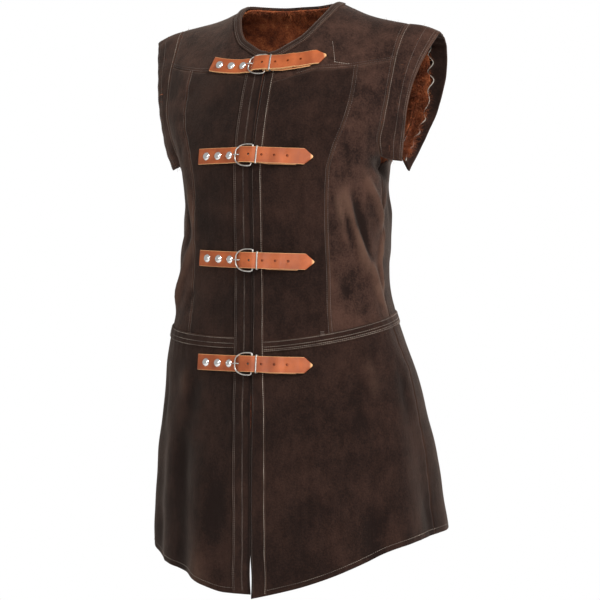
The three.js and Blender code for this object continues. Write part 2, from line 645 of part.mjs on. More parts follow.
function addBand(name, side, columns, rows, spotAt, finish) {
  const end = side < 0 ? "r" : "l";
  const pointAt = (i, j, face) => {
    const spot = spotAt(i / columns, j / rows, face);
    const point = bandPoint(spot.along, spot.across, spot.off);
    point.x *= side;
    return point;
  };
  addPiece(`${name}_${end}`, wallGeometry(columns, rows, pointAt, side > 0), finish);
}
const LOOP_LENGTH = 12;
const FACING_CLEAR = 0.9;
const FACING_SHARE = 0.48; // where the facing's frilled edge lies across the band
for (const side of [-1, 1]) {
  addBand("arm_band", side, 28, 3, (u, v, face) => ({
    along: LOOP_LENGTH * u,
    across: v,
    off: face === 1 ? 0 : -SUEDE,
  }), SUEDE_LOOK);
  addBand("arm_facing", side, 3 * FACING_WAVES, 1, (u, v, face) => ({
    along: LOOP_LENGTH * u,
    across: mix(FACING_SHARE, 1, v),
    off:
      -(SUEDE + FACING_CLEAR + (face === 1 ? 0 : FACING)) -
      FACING_WAVE * (1 - v) * (1 + Math.sin(2 * Math.PI * FACING_WAVES * u)) * 0.5,
  }), SUEDE_LOOK);
  addBand("arm_lining", side, 24, 2, (u, v, face) => ({
    along: LOOP_LENGTH * u,
    across: mix(0.04, FACING_SHARE - 0.05, v),
    off: -(SUEDE + FUR_NEAR + (face === 1 ? 0 : FUR_THICK - 1)),
  }), FUR_LOOK);
}

// ---------------------------------------------------------------- fur lining
// It is drawn through every second column of the suede, so that it always keeps clear of it.
const FUR_FROM_HEM = 10;
const FUR_FROM_SLIT = 2.5;
const furWall = { outer: -(SUEDE + FUR_NEAR), inner: -(SUEDE + FUR_NEAR + FUR_THICK), ridged: 0 };
const furTrim = { left: 0.8, right: 0.8, bottom: FUR_FROM_HEM, top: 5 };
for (const side of [-1, 1]) {
  const end = side < 0 ? "r" : "l";
  const lining = {
    ...frontGrid(side),
    columns: [0, 2, 4, 6, 8, 10, 11],
    rows: count(0, FRONT_TOP),
    trim: { ...furTrim, left: FUR_FROM_SLIT },
    ...furWall,
  };
  addPanel(`lining_front_${end}`, lining, FUR_LOOK);
  const backLining = {
    ...backGrid,
    side,
    columns: [0, 2, 4, 6, 8, 9],
    rows: count(0, BACK_TOP),
    trim: { ...furTrim, left: HALF },
    ...furWall,
  };
  addPanel(`lining_back_${end}`, backLining, FUR_LOOK);
}

// ---------------------------------------------------------------- closures
// A place at a closure is x across the body, w up the strap's width and n out from the suede.
const CLOSURES = [
  { name: "closure_1", z: -103, slope: 0.028, sag: 0.0008 },
  { name: "closure_2", z: -245, slope: -0.035, sag: -0.0002 },
  { name: "closure_3", z: -408.6, slope: -0.056, sag: 0 },
  { name: "closure_4", z: -570.3, slope: -0.036, sag: 0 },
];
const STRAP_WIDTH = 25;
const STRAP_THICK = 2.6;
const TAB_WIDTH = 24;
const TAB_THICK = 1.5;
const WIRE = 1.4; // radius of the buckle's wire
const BAR_X = 3;
const BAR_N = 5.4;
const KEEPER_X = 12.5;
const SLOT_WIDTH = 3.6;
// Underside of the holed strap from the riveted end to the point, and half its width where it narrows.
const STRAP_PATH = [
  { x: -101, n: 0.5 },
  { x: -85, n: 0.5 },
  { x: -62, n: 0.5 },
  { x: -46, n: 0.5 },
  { x: -32.6, n: 2.3 },
  { x: -19.5, n: 2.6 },
  { x: -15, n: 7.9 },
  { x: -12, n: 9.2 },
  { x: 3, n: 9.5 },
  { x: 7, n: 8.9 },
  { x: 11, n: 7.2 },
  { x: 22, n: 5.9 },
  { x: 34, n: 4.2 },
  { x: 48, n: 4.2 },
  { x: 57, n: 2.5 },
  { x: 78, n: 2.4 },
  { x: 87, n: 0.9 },
  { x: 93, n: 0.7, half: 9.5 },
  { x: 99, n: 0.6, half: 2.5 },
];
// Middle of the folded tab's leather, from the end of its upper layer round the bar to its sewn end.
const TAB_PATH = [
  { x: 48, n: 3.05 },
  { x: 34, n: 3.1 },
  { x: 22, n: 4.8 },
  { x: 11, n: 6.1 },
  { x: 6, n: 7.4 },
  { x: 3, n: 7.85 },
  { x: 1.27, n: 7.13 },
  { x: 0.55, n: 5.4 },
  { x: 1.27, n: 3.67 },
  { x: 3, n: 2.95 },
  { x: 11, n: 2.95 },
  { x: 22, n: 2.95 },
  { x: 32, n: 1.4 },
  { x: 55, n: 1.25 },
  { x: 78, n: 1.25 },
];
const FRAME_HALF = [
  { x: 3, w: 0 },
  { x: 3, w: 14 },
  { x: 1.4, w: 16.6 },
  { x: -2, w: 17.2 },
  { x: -12, w: 16.6 },
  { x: -19.5, w: 13.5 },
  { x: -24, w: 9.5 },
  { x: -25.5, w: 5 },
  { x: -25.5, w: 0 },
];
const FRAME_TILT = (7.2 - BAR_N) / 28.5; // the rounded end stands higher, over the strap
// The tongue runs under the strap, up through its hole and over the rounded end of the frame.
const TONGUE_PATH = [
  { x: 5.7, n: 4.7 },
  { x: 5.4, n: 6.8 },
  { x: 3.4, n: 8 },
  { x: 0.5, n: 8.1 },
  { x: -4, n: 7.8 },
  { x: -11, n: 7.6 },
  { x: -14, n: 8.2 },
  { x: -17.5, n: 9.4 },
  { x: -21, n: 10.1 },
  { x: -25.5, n: 10.1 },
  { x: -29, n: 9.5 },
];
const TONGUE_RADIUS = 1.1;
const KEEPER_QUARTER = [
  { w: 13.4, n: 3.2 },
  { w: 14.6, n: 2.2 },
];
const KEEPER_MIDDLE = 7.5;
const RIVET_PLACES = [-84, -61, -39];
const RIVET_DOME = [
  [0, 0],
  [6, 0],
  [5.4, 1.9],
  [0, 3.4],
];

// Point of the smooth front at a distance from the centre and a height.
function frontAt(x, z) {
  let low = -700;
  let high = 80;
  const spotAt = (level) => ({ level, angle: angleAcross("front", Math.abs(x), level) });
  for (let i = 0; i < 40; i++) {
    const level = (low + high) / 2;
    const spot = spotAt(level);
    if (plainPoint("front", spot.angle, level).z < z) low = level;
    else high = level;
  }
  const { angle, level } = spotAt(low);
  const side = x < 0 ? -1 : 1;
  const point = plainPoint("front", angle, level);
  const normal = plainNormal("front", angle, level);
  point.x *= side;
  normal.x *= side;
  return { point, normal };
}

function closureFrame(closure, x) {
  const height = (at) => closure.z + closure.slope * at + closure.sag * at * at;
  const { point, normal } = frontAt(x, height(x));
  const before = frontAt(x - 1, height(x - 1)).point;
  const tangent = frontAt(x + 1, height(x + 1)).point.sub(before).normalize();
  const up = normal.clone().cross(tangent).normalize();
  return { point, normal, tangent, up };
}

function closurePoint(closure, x, w, n) {
  const at = closureFrame(closure, x);
  return at.point.addScaledVector(at.up, w).addScaledVector(at.normal, n);
}

// A strip of leather whose middle runs along a path of x and n.
function leatherGeometry(closure, path, thick, halfWidth, flip) {
  const last = path.length - 1;
  const pointAt = (i, j, face) => {
    const before = path[Math.max(i - 1, 0)];
    const after = path[Math.min(i + 1, last)];
    const length = Math.hypot(after.x - before.x, after.n - before.n);
    const off = (face === 1 ? 0.5 : -0.5) * thick * flip;
    const x = path[i].x - (off * (after.n - before.n)) / length;
    const n = path[i].n + (off * (after.x - before.x)) / length;
    return closurePoint(closure, x, (2 * j - 1) * halfWidth(i), n);
  };
  return wallGeometry(last, 1, pointAt, flip < 0);
}

// A rod with a flat-sided round section along a line of points. across(i) is any vector out of the line's plane.
function rodGeometry(points, across, radiusIn, radiusAcross, sides, closed) {
  const total = points.length;
  const positions = [];
  const index = [];
  for (let i = 0; i < total; i++) {
    const before = closed ? points[(i - 1 + total) % total] : points[Math.max(i - 1, 0)];
    const after = closed ? points[(i + 1) % total] : points[Math.min(i + 1, total - 1)];
    const tangent = after.clone().sub(before).normalize();
    const inward = across(i).clone().cross(tangent).normalize();
    const out = tangent.clone().cross(inward).normalize();
    for (let k = 0; k < sides; k++) {
      const turn = (2 * Math.PI * (k + 0.5)) / sides;
      const point = points[i].clone();
      point.addScaledVector(inward, radiusIn * Math.cos(turn)).addScaledVector(out, radiusAcross * Math.sin(turn));
      positions.push(...point.toArray());
    }
  }
  const rings = closed ? total : total - 1;
  for (let i = 0; i < rings; i++)
    for (let k = 0; k < sides; k++) {
      const a = i * sides + k;
      const b = i * sides + ((k + 1) % sides);
      const c = ((i + 1) % total) * sides + ((k + 1) % sides);
      const d = ((i + 1) % total) * sides + k;
      index.push(a, b, c, a, c, d);
    }
  if (!closed)
    for (let k = 1; k < sides - 1; k++) {
      const end = (total - 1) * sides;
      index.push(0, k + 1, k);
      index.push(end, end + k, end + k + 1);
    }
  const geometry = new THREE.BufferGeometry();
  geometry.setAttribute("position", new THREE.Float32BufferAttribute(positions, 3));
  geometry.setIndex(index);
  return geometry;
}

function bare(geometry) {
  geometry.deleteAttribute("normal");
  geometry.deleteAttribute("uv");
  return mergeVertices(geometry, 0.001);
}

function asSolid(geometry) {
  const vertProperties = new Float32Array(geometry.attributes.position.array);
  const triVerts = new Uint32Array(geometry.index.array);
  return new wasm.Manifold(new wasm.Mesh({ numProp: 3, vertProperties, triVerts }));
}

// The geometry with a box-shaped slot cut out of it.
function withSlot(geometry, closure, x, n, length, depth) {
  const at = closureFrame(closure, x);
  const centre = at.point.addScaledVector(at.normal, n);
  const turn = new THREE.Matrix4().makeBasis(at.tangent, at.up, at.normal).setPosition(centre);
  const slot = bare(new THREE.BoxGeometry(length, SLOT_WIDTH, depth)).applyMatrix4(turn);
  const result = asSolid(geometry).subtract(asSolid(slot)).getMesh();
  const cutGeometry = new THREE.BufferGeometry();
  cutGeometry.setAttribute("position", new THREE.Float32BufferAttribute(result.vertProperties, 3));
  cutGeometry.setIndex([...result.triVerts]);
  return cutGeometry;
}

const strapHalf = (i) => STRAP_PATH[i].half ?? STRAP_WIDTH / 2;
for (const closure of CLOSURES) {
  const middle = STRAP_PATH.map(({ x, n }) => ({ x, n: n + STRAP_THICK / 2 }));
  const strap = leatherGeometry(closure, middle, STRAP_THICK, strapHalf, 1);
  addPiece(`${closure.name}_strap`, withSlot(strap, closure, -16, 7, 10, 12), STRAP_LOOK);

  const tab = leatherGeometry(closure, TAB_PATH, TAB_THICK, () => TAB_WIDTH / 2, -1);
  addPiece(`${closure.name}_tab`, withSlot(tab, closure, 3.2, 5.4, 11, 9), STRAP_LOOK);

  const around = [...FRAME_HALF, ...FRAME_HALF.slice(1, -1).reverse().map(({ x, w }) => ({ x, w: -w }))];
  const wire = around.map(({ x, w }) => closurePoint(closure, x, w, BAR_N + (BAR_X - x) * FRAME_TILT));
  const outward = (i) => closureFrame(closure, around[i].x).normal;
  addPiece(`${closure.name}_frame`, rodGeometry(wire, outward, WIRE, WIRE, 5, true), METAL_LOOK);

  const tongue = TONGUE_PATH.map(({ x, n }) => closurePoint(closure, x, 0, n));
  const upward = closureFrame(closure, BAR_X).up;
  const rod = rodGeometry(tongue, () => upward, TONGUE_RADIUS, TONGUE_RADIUS, 6, false);
  addPiece(`${closure.name}_tongue`, rod, METAL_LOOK);

  const corner = KEEPER_QUARTER.map(({ w, n }) => [w, n]);
  const loop = [
    ...corner,
    ...[...corner].reverse().map(([w, n]) => [w, -n]),
    ...corner.map(([w, n]) => [-w, -n]),
    ...[...corner].reverse().map(([w, n]) => [-w, n]),
  ];
  const keeper = loop.map(([w, n]) => closurePoint(closure, KEEPER_X, w, KEEPER_MIDDLE + n));
  const along = closureFrame(closure, KEEPER_X).tangent;
  addPiece(`${closure.name}_keeper`, rodGeometry(keeper, () => along, 0.57, 2.1, 4, true), METAL_LOOK);

  RIVET_PLACES.forEach((x, i) => {
    const at = closureFrame(closure, x);
    const next = STRAP_PATH.findIndex((row) => row.x > x);
    const [low, high] = [STRAP_PATH[next - 1], STRAP_PATH[next]];
    const slope = (high.n - low.n) / (high.x - low.x);
    const under = low.n + slope * (x - low.x);
    const normal = at.normal.clone().addScaledVector(at.tangent, -slope).normalize();
    const tangent = at.tangent.clone().addScaledVector(at.normal, slope).normalize();
    const dome = bare(new THREE.LatheGeometry(RIVET_DOME.map(([r, y]) => new THREE.Vector2(r, y)), 8));
    const turn = new THREE.Matrix4().makeBasis(tangent, normal, at.up.clone().negate());
    turn.setPosition(at.point.addScaledVector(normal, under + STRAP_THICK + SEAM_GAP));
    addPiece(`${closure.name}_rivet_${i + 1}`, dome.applyMatrix4(turn), METAL_LOOK);
  });
}

export default vest;
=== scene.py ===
from functools import partial

import bmesh
import bpy
import mathutils
import numpy as np
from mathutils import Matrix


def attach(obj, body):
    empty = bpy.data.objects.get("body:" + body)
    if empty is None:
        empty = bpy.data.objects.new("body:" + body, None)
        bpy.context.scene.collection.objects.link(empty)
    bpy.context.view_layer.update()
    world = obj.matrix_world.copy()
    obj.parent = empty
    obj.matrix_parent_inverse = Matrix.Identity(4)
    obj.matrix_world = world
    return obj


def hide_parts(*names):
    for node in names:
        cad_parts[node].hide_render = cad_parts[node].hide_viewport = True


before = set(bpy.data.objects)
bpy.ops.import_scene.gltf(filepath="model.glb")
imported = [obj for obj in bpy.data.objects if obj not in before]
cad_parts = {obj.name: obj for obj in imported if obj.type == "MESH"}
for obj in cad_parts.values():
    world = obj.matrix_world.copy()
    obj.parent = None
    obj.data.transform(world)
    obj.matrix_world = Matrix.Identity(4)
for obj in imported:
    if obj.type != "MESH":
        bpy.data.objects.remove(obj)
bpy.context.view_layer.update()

# ---------------------------------------------------------------- suede body panels
# The bodice is cut from dark brown suede: two centre fronts, two side fronts shaped by princess seams, and
# two backs joined down the middle. It carries the worn shape on which every other piece hangs.
# Lengths in this file are in millimetres and turn into metres when a mesh is made.
SIDES = ((-1, "r"), (1, "l"))  # the wearer's right and left
SUEDE = 1.8
SEAM_GAP = 0.3
UNDERARM_Z = -265.0
CENTRE_GAP = 0.4  # half of the slit
LEFT_FRONT_DROP = 7.0
RIGHT_SHOULDER_LIFT = 11.0
WAIST_FRONT_Z, WAIST_RISE, WAIST_RISE_TURN = -528.0, 32.0, 130.0
FRONT_ROLL, BACK_ROLL = 1.8, 2.4
ROLL_MM = 4.0  # a degree of roll is about this much height
GIRTH = 165.0  # a radian of turn is about this much girth
CLEAN_STRAP = 30.0  # no fold comes this near to a strap's middle line
EDGE_ROLL, EDGE_WEAR = 1.9, 1.8  # how far in an edge is rolled, and rubbed pale
FADE_IN = 2.2  # a crease fades in, and out, over one part in this many of its length
LAST_NORMAL = 88.5  # above this level the form's normal no longer changes

# z, half width, front, back, y of the side seam, squareness
BODY_RINGS = [
    (-960, 242, 222, 166, -44, 2), (-842, 237, 215, 158, -45, 2), (-765, 229.5, 210, 143, -47, 2),
    (-700, 225, 204, 122, -53, 2), (-605, 215, 194, 86, -60, 2.05), (-541, 199, 187, 62, -72, 2.1),
    (-477, 180, 180, 51, -76, 2.15), (-413, 172, 175, 57, -63, 2.2), (-350, 168.5, 172.5, 66, -54, 2.2),
    (-300, 170, 170.5, 72, -51, 2.2), (-265, 174, 169, 74, -50, 2.2),
]
# share of the height above the underarm, front half width and squareness, back half width and squareness
CHEST_RINGS = [
    (0, 174, 2.2, 174, 2.2), (0.15, 187, 2.25, 190, 2.5), (0.3, 204, 2.3, 208, 2.8),
    (0.47, 216, 2.3, 218, 3), (0.7, 220, 2.3, 221, 2.8), (1, 218, 2.3, 218, 2.3),
]
SHOULDER_SLOPE = [(0, 0), (78, -4), (100, -13), (122, -23), (145, -31), (175, -38.5), (204, -45), (260, -60)]
PRINCESS_SEAM = [(-300, 38), (-165, 42), (0, 42), (30, 41), (46, 39.5)]
YOKE_SEAM = [(0, 33), (20, 38), (40, 44.5), (62, 51)]
FRONT_ARMHOLE = [
    (0, 90), (2, 84), (5, 77), (10, 70), (16, 65.5), (24, 62), (35, 60.5), (50, 60), (65, 61), (78, 62.5),
    (90, 63.3)]
BACK_ARMHOLE = [
    (0, 90), (2, 82), (5, 72), (10, 62), (16, 55), (24, 51.5), (35, 51), (50, 53), (65, 56.5), (78, 60.5),
    (90, 63.3)]
FRONT_NECK = [(46.2, 0), (47.3, 3.6), (49.8, 7.3), (55, 13.3), (64.7, 17.7), (73.7, 20), (90, 21)]
BACK_NECK = [(0, 73), (7, 74), (13, 77), (18, 82), (21, 90)]
# turn from the front centre, z on the right, z on the left
HEM_LINE = [
    (0, -928, -928), (12, -926, -918), (20, -916, -911), (30, -900, -900), (45, -888, -881), (60, -877, -863),
    (75, -862, -854), (90, -853, -849), (110, -847, -845), (180, -846, -846),
]
# level at the top and the bottom of each place where the slit stands open, and how far
SLIT_OPENINGS = [(-331, -425, 1), (-590, -676, 1.6)]
# Broad folds: side, turn and z at the start, turn and z at the end, height, width
BROAD_FOLDS = [
    (1, 52, -300, 80, -478, 5, 22), (1, 66, -292, 90, -372, 5, 20), (-1, 52, -362, 66, -500, 5, 20),
    (-1, 72, -305, 84, -430, 5, 20), (1, 110, -300, 128, -440, 6, 24), (-1, 112, -310, 132, -450, 6, 24),
    (-1, 22, -640, 22, -1000, 10, 25), (-1, 48, -620, 46, -1000, 7, 24), (-1, 74, -620, 70, -1000, 10, 30),
    (1, 36, -680, 34, -1000, 6, 30), (1, 66, -640, 68, -1000, 7, 30), (1, 100, -600, 104, -1000, 9, 30),
    (1, 138, -600, 140, -1000, 10, 32), (-1, 120, -600, 122, -1000, 10, 30),
    (-1, 158, -600, 158, -1000, 9, 30),
]
# Creases pressed in by wear, in the same form; a negative height is a trough.
CREASES = [
    (1, 64, -262, 96, -392, 7.5, 7), (1, 95, -352, 83, -438, 6.0, 6), (1, 84, -402, 89, -482, 5.0, 6),
    (1, 55, -292, 76, -436, -8.5, 10), (1, 51, -280, 62, -384, 6.5, 8), (1, 59, -340, 70, -446, 6.5, 8),
    (1, 66, -396, 92, -512, 6.5, 9), (1, 46, -282, 57, -398, 3.8, 7), (1, 50, -306, 62, -420, -4.0, 6),
    (1, 67, -252, 108, -292, -8.0, 9), (1, 99, -294, 90, -352, 3.6, 6), (1, 48, -420, 56, -492, -3.0, 9),
    (-1, 52, -264, 39, -392, 4.5, 9), (-1, 39, -356, 58, -446, 4.5, 9), (-1, 50, -412, 72, -502, 5.0, 11),
    (-1, 56, -300, 48, -404, -4.5, 10), (-1, 62, -352, 66, -436, 3.6, 9), (-1, 78, -292, 86, -392, -4.0, 9),
    (-1, 72, -256, 104, -300, -5.5, 9), (-1, 86, -352, 78, -452, 3.6, 9), (-1, 40, -440, 46, -500, -2.4, 9),
    (1, 104, -290, 112, -372, -2.6, 10), (1, 122, -330, 132, -432, -2.2, 10),
    (1, 148, -340, 156, -450, 2.2, 11), (-1, 106, -300, 116, -392, -2.6, 10),
    (-1, 128, -330, 134, -440, 2.2, 10), (-1, 152, -322, 146, -432, -2.2, 11),
    (1, 150, -180, 164, -250, -1.8, 12), (-1, 146, -170, 160, -262, -1.8, 12),
    (1, 160, -440, 170, -500, 1.6, 12), (-1, 30, -566, 34, -690, -3.0, 12),
    (-1, 40, -560, 36, -640, 2.4, 10), (-1, 60, -562, 62, -700, -3.8, 13),
    (-1, 39, -640, 33, -820, -4.5, 15), (-1, 14, -710, 18, -900, -3.5, 13),
    (-1, 23, -820, 25, -1000, 4.5, 14), (-1, 84, -560, 82, -700, 2.6, 12),
    (-1, 34, -760, 35, -930, -3.0, 14), (-1, 59, -780, 58, -900, -3.4, 14),
    (1, 24, -566, 26, -660, -1.8, 11), (1, 46, -560, 50, -690, -2.6, 13), (1, 56, -556, 58, -640, 2.0, 10),
    (1, 78, -552, 80, -690, -2.8, 13), (1, 50, -780, 51, -900, -2.8, 15), (1, 84, -760, 86, -880, -3.2, 15),
    (1, 118, -550, 122, -700, -3.0, 14), (1, 150, -540, 154, -690, -2.6, 14),
    (1, 122, -760, 124, -880, -3.4, 15), (-1, 102, -550, 100, -700, -3.0, 14),
    (-1, 138, -540, 142, -690, -2.6, 14), (-1, 140, -760, 141, -880, -3.4, 15),
    (1, 30, -110, 44, -150, -1.6, 12), (-1, 34, -120, 44, -168, -1.6, 12),
    (1, 44, -190, 54, -262, -1.8, 11), (-1, 46, -196, 56, -262, -1.8, 11),
]
# name, height of the middle line at the slit, its slope and its sag
CLOSURES = [
    ("closure_1", -103, 0.028, 0.0008), ("closure_2", -245, -0.035, -0.0002),
    ("closure_3", -408.6, -0.056, 0), ("closure_4", -570.3, -0.036, 0),
]
STRAP_REACH = 112.0


def smooth(v):
    s = np.clip(v, 0, 1)
    return s * s * (3 - 2 * s)


def look_up(rows, at, column=1):
    """Smooth value of a table's column, level past both ends."""
    rows = np.array(sorted(rows), float)
    keys, values = rows[:, 0], rows[:, column]
    step = np.diff(values) / np.diff(keys)
    slope = np.concatenate([step[:1], np.zeros(len(step) - 1), step[-1:]])
    a, b = step[:-1], step[1:]
    same = a * b > 0
    slope[1:-1][same] = (2 * a * b)[same] / (a + b)[same]
    at = np.clip(at, keys[0], keys[-1])
    i = np.clip(np.searchsorted(keys, at) - 1, 0, len(keys) - 2)
    width = keys[i + 1] - keys[i]
    t = (at - keys[i]) / width
    t2, t3 = t * t, t * t * t
    return ((2 * t3 - 3 * t2 + 1) * values[i] + (t3 - 2 * t2 + t) * width * slope[i]
            + (3 * t2 - 2 * t3) * values[i + 1] + (t3 - t2) * width * slope[i + 1])


def rounded(angle, square):
    """Sine and cosine parts of the point of a unit superellipse in an angle's direction."""
    s, c = np.sin(np.radians(angle)), np.cos(np.radians(angle))
    reach = (np.abs(s) ** square + np.abs(c) ** square) ** (-1 / square)
    return s * reach, c * reach


def section(sheet, level):
    """Share of the height, z, half width, reach, side y and squareness of the body at a level."""
    ring_z = UNDERARM_Z + np.minimum(level, 0)
    side_y = look_up(BODY_RINGS, ring_z, 4)
    if sheet == "front":
        reach = look_up(BODY_RINGS, ring_z, 2) + side_y
    else:
        reach = look_up(BODY_RINGS, ring_z, 3) - side_y
    share, across = rounded(np.maximum(level, 0), FRONT_ROLL if sheet == "front" else BACK_ROLL)
    column = 1 if sheet == "front" else 3
    high = level > 0
    half_width = np.where(high, look_up(CHEST_RINGS, share, column), look_up(BODY_RINGS, ring_z, 1))
    square = np.where(high, look_up(CHEST_RINGS, share, column + 1), look_up(BODY_RINGS, ring_z, 5))
    return share, ring_z, half_width, reach * across, side_y * (1 - share), square


def plain_point(sheet, angle, level):
    """Point of the smooth form. angle runs from the centre (0) to the side (90). level is the height over the
    underarm in mm up to 0, and from there the roll over the chest and shoulder, up to 90."""
    share, z, half_width, reach, side_y, square = section(sheet, level)
    along, across = rounded(angle, square)
    x = half_width * along
    out = reach * across
    climb = share * (look_up(SHOULDER_SLOPE, np.abs(x)) - UNDERARM_Z)
    return np.stack([x, side_y - out if sheet == "front" else side_y + out, z + climb], -1)


def unit(v):
    return v / np.linalg.norm(v, axis=-1, keepdims=True)


def plain_normal(sheet, angle, level):
    top = np.minimum(level, LAST_NORMAL)
    around = plain_point(sheet, angle + 0.3, top) - plain_point(sheet, angle - 0.3, top)
    up = plain_point(sheet, angle, top + 0.4) - plain_point(sheet, angle, top - 0.4)
    normal = unit(np.cross(around, up))
    return normal if sheet == "front" else -normal


def turn_of(sheet, angle):
    """Degrees round the body from the front centre (0) to the back centre (180)."""
    return angle if sheet == "front" else 180 - angle


def waist_level(sheet, angle):
    return WAIST_FRONT_Z + WAIST_RISE * smooth(turn_of(sheet, angle) / WAIST_RISE_TURN) - UNDERARM_Z


def hem_level(sheet, side, angle):
    return look_up(HEM_LINE, turn_of(sheet, angle), 1 if side < 0 else 2) - UNDERARM_Z


def side_angle(sheet, level):
    seam = look_up(FRONT_ARMHOLE if sheet == "front" else BACK_ARMHOLE, level)
    return np.where(level <= 0, 90.0, seam)


def princess_angle(level):
    return look_up(PRINCESS_SEAM, level)


def yoke_level(angle):
    return look_up(YOKE_SEAM, angle)


def angle_across(sheet, x, level):
    """Angle at a distance across from the middle."""
    _, _, half_width, _, _, square = section(sheet, level)
    along = np.clip(x / half_width, 0, 0.999)
    return np.degrees(np.arctan2(along, (1 - along ** square) ** (1 / square)))


def centre_edge(level):
    """How far a front edge stands from the middle; the slit opens a little between the straps."""
    edge = CENTRE_GAP + 0 * level
    for top, bottom, most in SLIT_OPENINGS:
        edge = edge + most * np.sin(np.pi * np.clip((level - bottom) / (top - bottom), 0, 1)) ** 2
    return edge


def centre_angle(level):
    neck = np.where(level > FRONT_NECK[0][0], look_up(FRONT_NECK, level), 0)
    return np.maximum(angle_across("front", centre_edge(level), level), neck)


def centre_back(level):
    return 0 * level


def in_mm(level):
    return np.where(level > 0, level * ROLL_MM, level)


def as_level(mm):
    return np.where(mm > 0, mm / ROLL_MM, mm)


def fold_lift(folds, side, turn, z, run_in):
    """How far folds that run from one place to another lift the suede."""
    lift = 0 * z
    for fold_side, turn0, z0, turn1, z1, height, width in folds:
        if fold_side != side:
            continue
        dx, dz = np.radians(turn1 - turn0) * GIRTH, z1 - z0
        px, pz = np.radians(turn - turn0) * GIRTH, z - z0
        t = np.clip((px * dx + pz * dz) / (dx * dx + dz * dz), 0, 1)
        off = np.hypot(px - t * dx, pz - t * dz) / width
        far_end = 1 if z1 < -960 else smooth((1 - t) * run_in)
        lift = lift + height * np.exp(-off * off) * smooth(t * run_in) * far_end
    return lift


def loose_lift(side, turn, z):
    """Lift of one side's folds and creases, with a soft unevenness."""
    girth = np.radians(turn) * GIRTH
    uneven = (np.sin(girth / 31 + z / 47 + side) * np.sin(z / 38 - girth / 61 + 1.3)
              + 0.6 * np.sin(girth / 13.7 - z / 29 + 2 * side) * np.sin(z / 17.3 + girth / 23))
    folds = fold_lift(BROAD_FOLDS, side, turn, z, 3) + fold_lift(CREASES, side, turn, z, FADE_IN)
    return folds + uneven * smooth((-z - 40) / 60)


def drape(sheet, side, angle, level, x, z):
    """Lift of the suede off the plain form: folds, creases and puckered seams."""
    turn = turn_of(sheet, angle)
    girth = np.radians(turn) * GIRTH
    lift = loose_lift(side, turn, z)
    if sheet == "back":  # the two halves meet alike at the centre back
        other = 0.5 * (1 - smooth(angle / 12))
        lift = lift + (loose_lift(-side, turn, z) - lift) * other
    from_waist = (level - waist_level(sheet, angle) + 9) / 24
    pucker = np.sin(girth / 3.1 + 1.7 * np.sin(girth / 11)) * np.exp(-from_waist ** 2) * 0.35
    if sheet == "front":
        from_princess = np.radians(angle - princess_angle(level)) * GIRTH / 9
        below_yoke = smooth((yoke_level(angle) - level) / 2) * (level > waist_level(sheet, angle))
        pucker = pucker + 0.45 * np.sin(z / 3.6 + np.sin(z / 13)) * np.exp(-from_princess ** 2) * below_yoke
    from_side = (90 - angle) * 3 / 10
    pucker = pucker + 0.4 * np.sin(z / 4.1 + np.sin(z / 17)) * np.exp(-from_side ** 2) * (level < 0)
    from_hem = (level - hem_level(sheet, side, angle)) / 14
    pucker = pucker + 0.4 * np.sin(girth / 3.7 + np.sin(girth / 19)) * np.exp(-from_hem ** 2)
    lift = lift + pucker
    if sheet == "front":
        for _, z0, slope, sag in CLOSURES:
            off = np.abs(z - (z0 + slope * side * x + sag * x * x)) / CLEAN_STRAP
            near = (1 - smooth(off * 2 - 1)) * (1 - smooth((np.abs(x) - STRAP_REACH) / 20))
            lift = lift * (1 - near)
        lift = lift * smooth(np.abs(x) / 40 + 0.25)
    return lift


def place(sheet, side, angle, level, outside):
    """Point on the worn form, this far outside it, in millimetres."""
    point = plain_point(sheet, angle, level)
    lift = drape(sheet, side, angle, level, point[..., 0], point[..., 2])
    point = point + plain_normal(sheet, angle, level) * (outside + lift)[..., None]
    if side > 0 and sheet == "front":
        drop = smooth((-point[..., 2] - 60) / 70) * (1 - smooth(angle / 75))
        point[..., 2] -= LEFT_FRONT_DROP * drop
    point[..., 0] *= side
    return point


def shrug(points):
    """The right shoulder and its band sit higher than the left."""
    points = np.array(points, float)
    away = smooth((-points[..., 0] - 40) / 180)
    points[..., 2] += RIGHT_SHOULDER_LIFT * away * smooth((points[..., 2] + 170) / 120)
    return points


def mm_per_degree(sheet, angle, level):
    wide = plain_point(sheet, angle + 0.5, level) - plain_point(sheet, np.maximum(angle - 0.5, 0), level)
    return np.linalg.norm(wide, axis=-1)


def marks(length, spacing):
    """Places along a length, closer together near its two ends."""
    near = np.array([0, 0.5, 1.2, 2.2, 3.6])
    middle = np.linspace(5.5, length - 5.5, max(2, int(length / spacing)))
    return np.concatenate([near, middle, length - near[::-1]])


def new_piece(name, data):
    piece = bpy.data.objects.new(name, data)
    bpy.context.scene.collection.objects.link(piece)
    return piece


def shaded_piece(mesh, material):
    """The smooth-shaded object of a mesh, under the mesh's name."""
    mesh.polygons.foreach_set("use_smooth", np.ones(len(mesh.polygons), bool))
    mesh.materials.append(material)
    mesh.update()
    return new_piece(mesh.name, mesh)


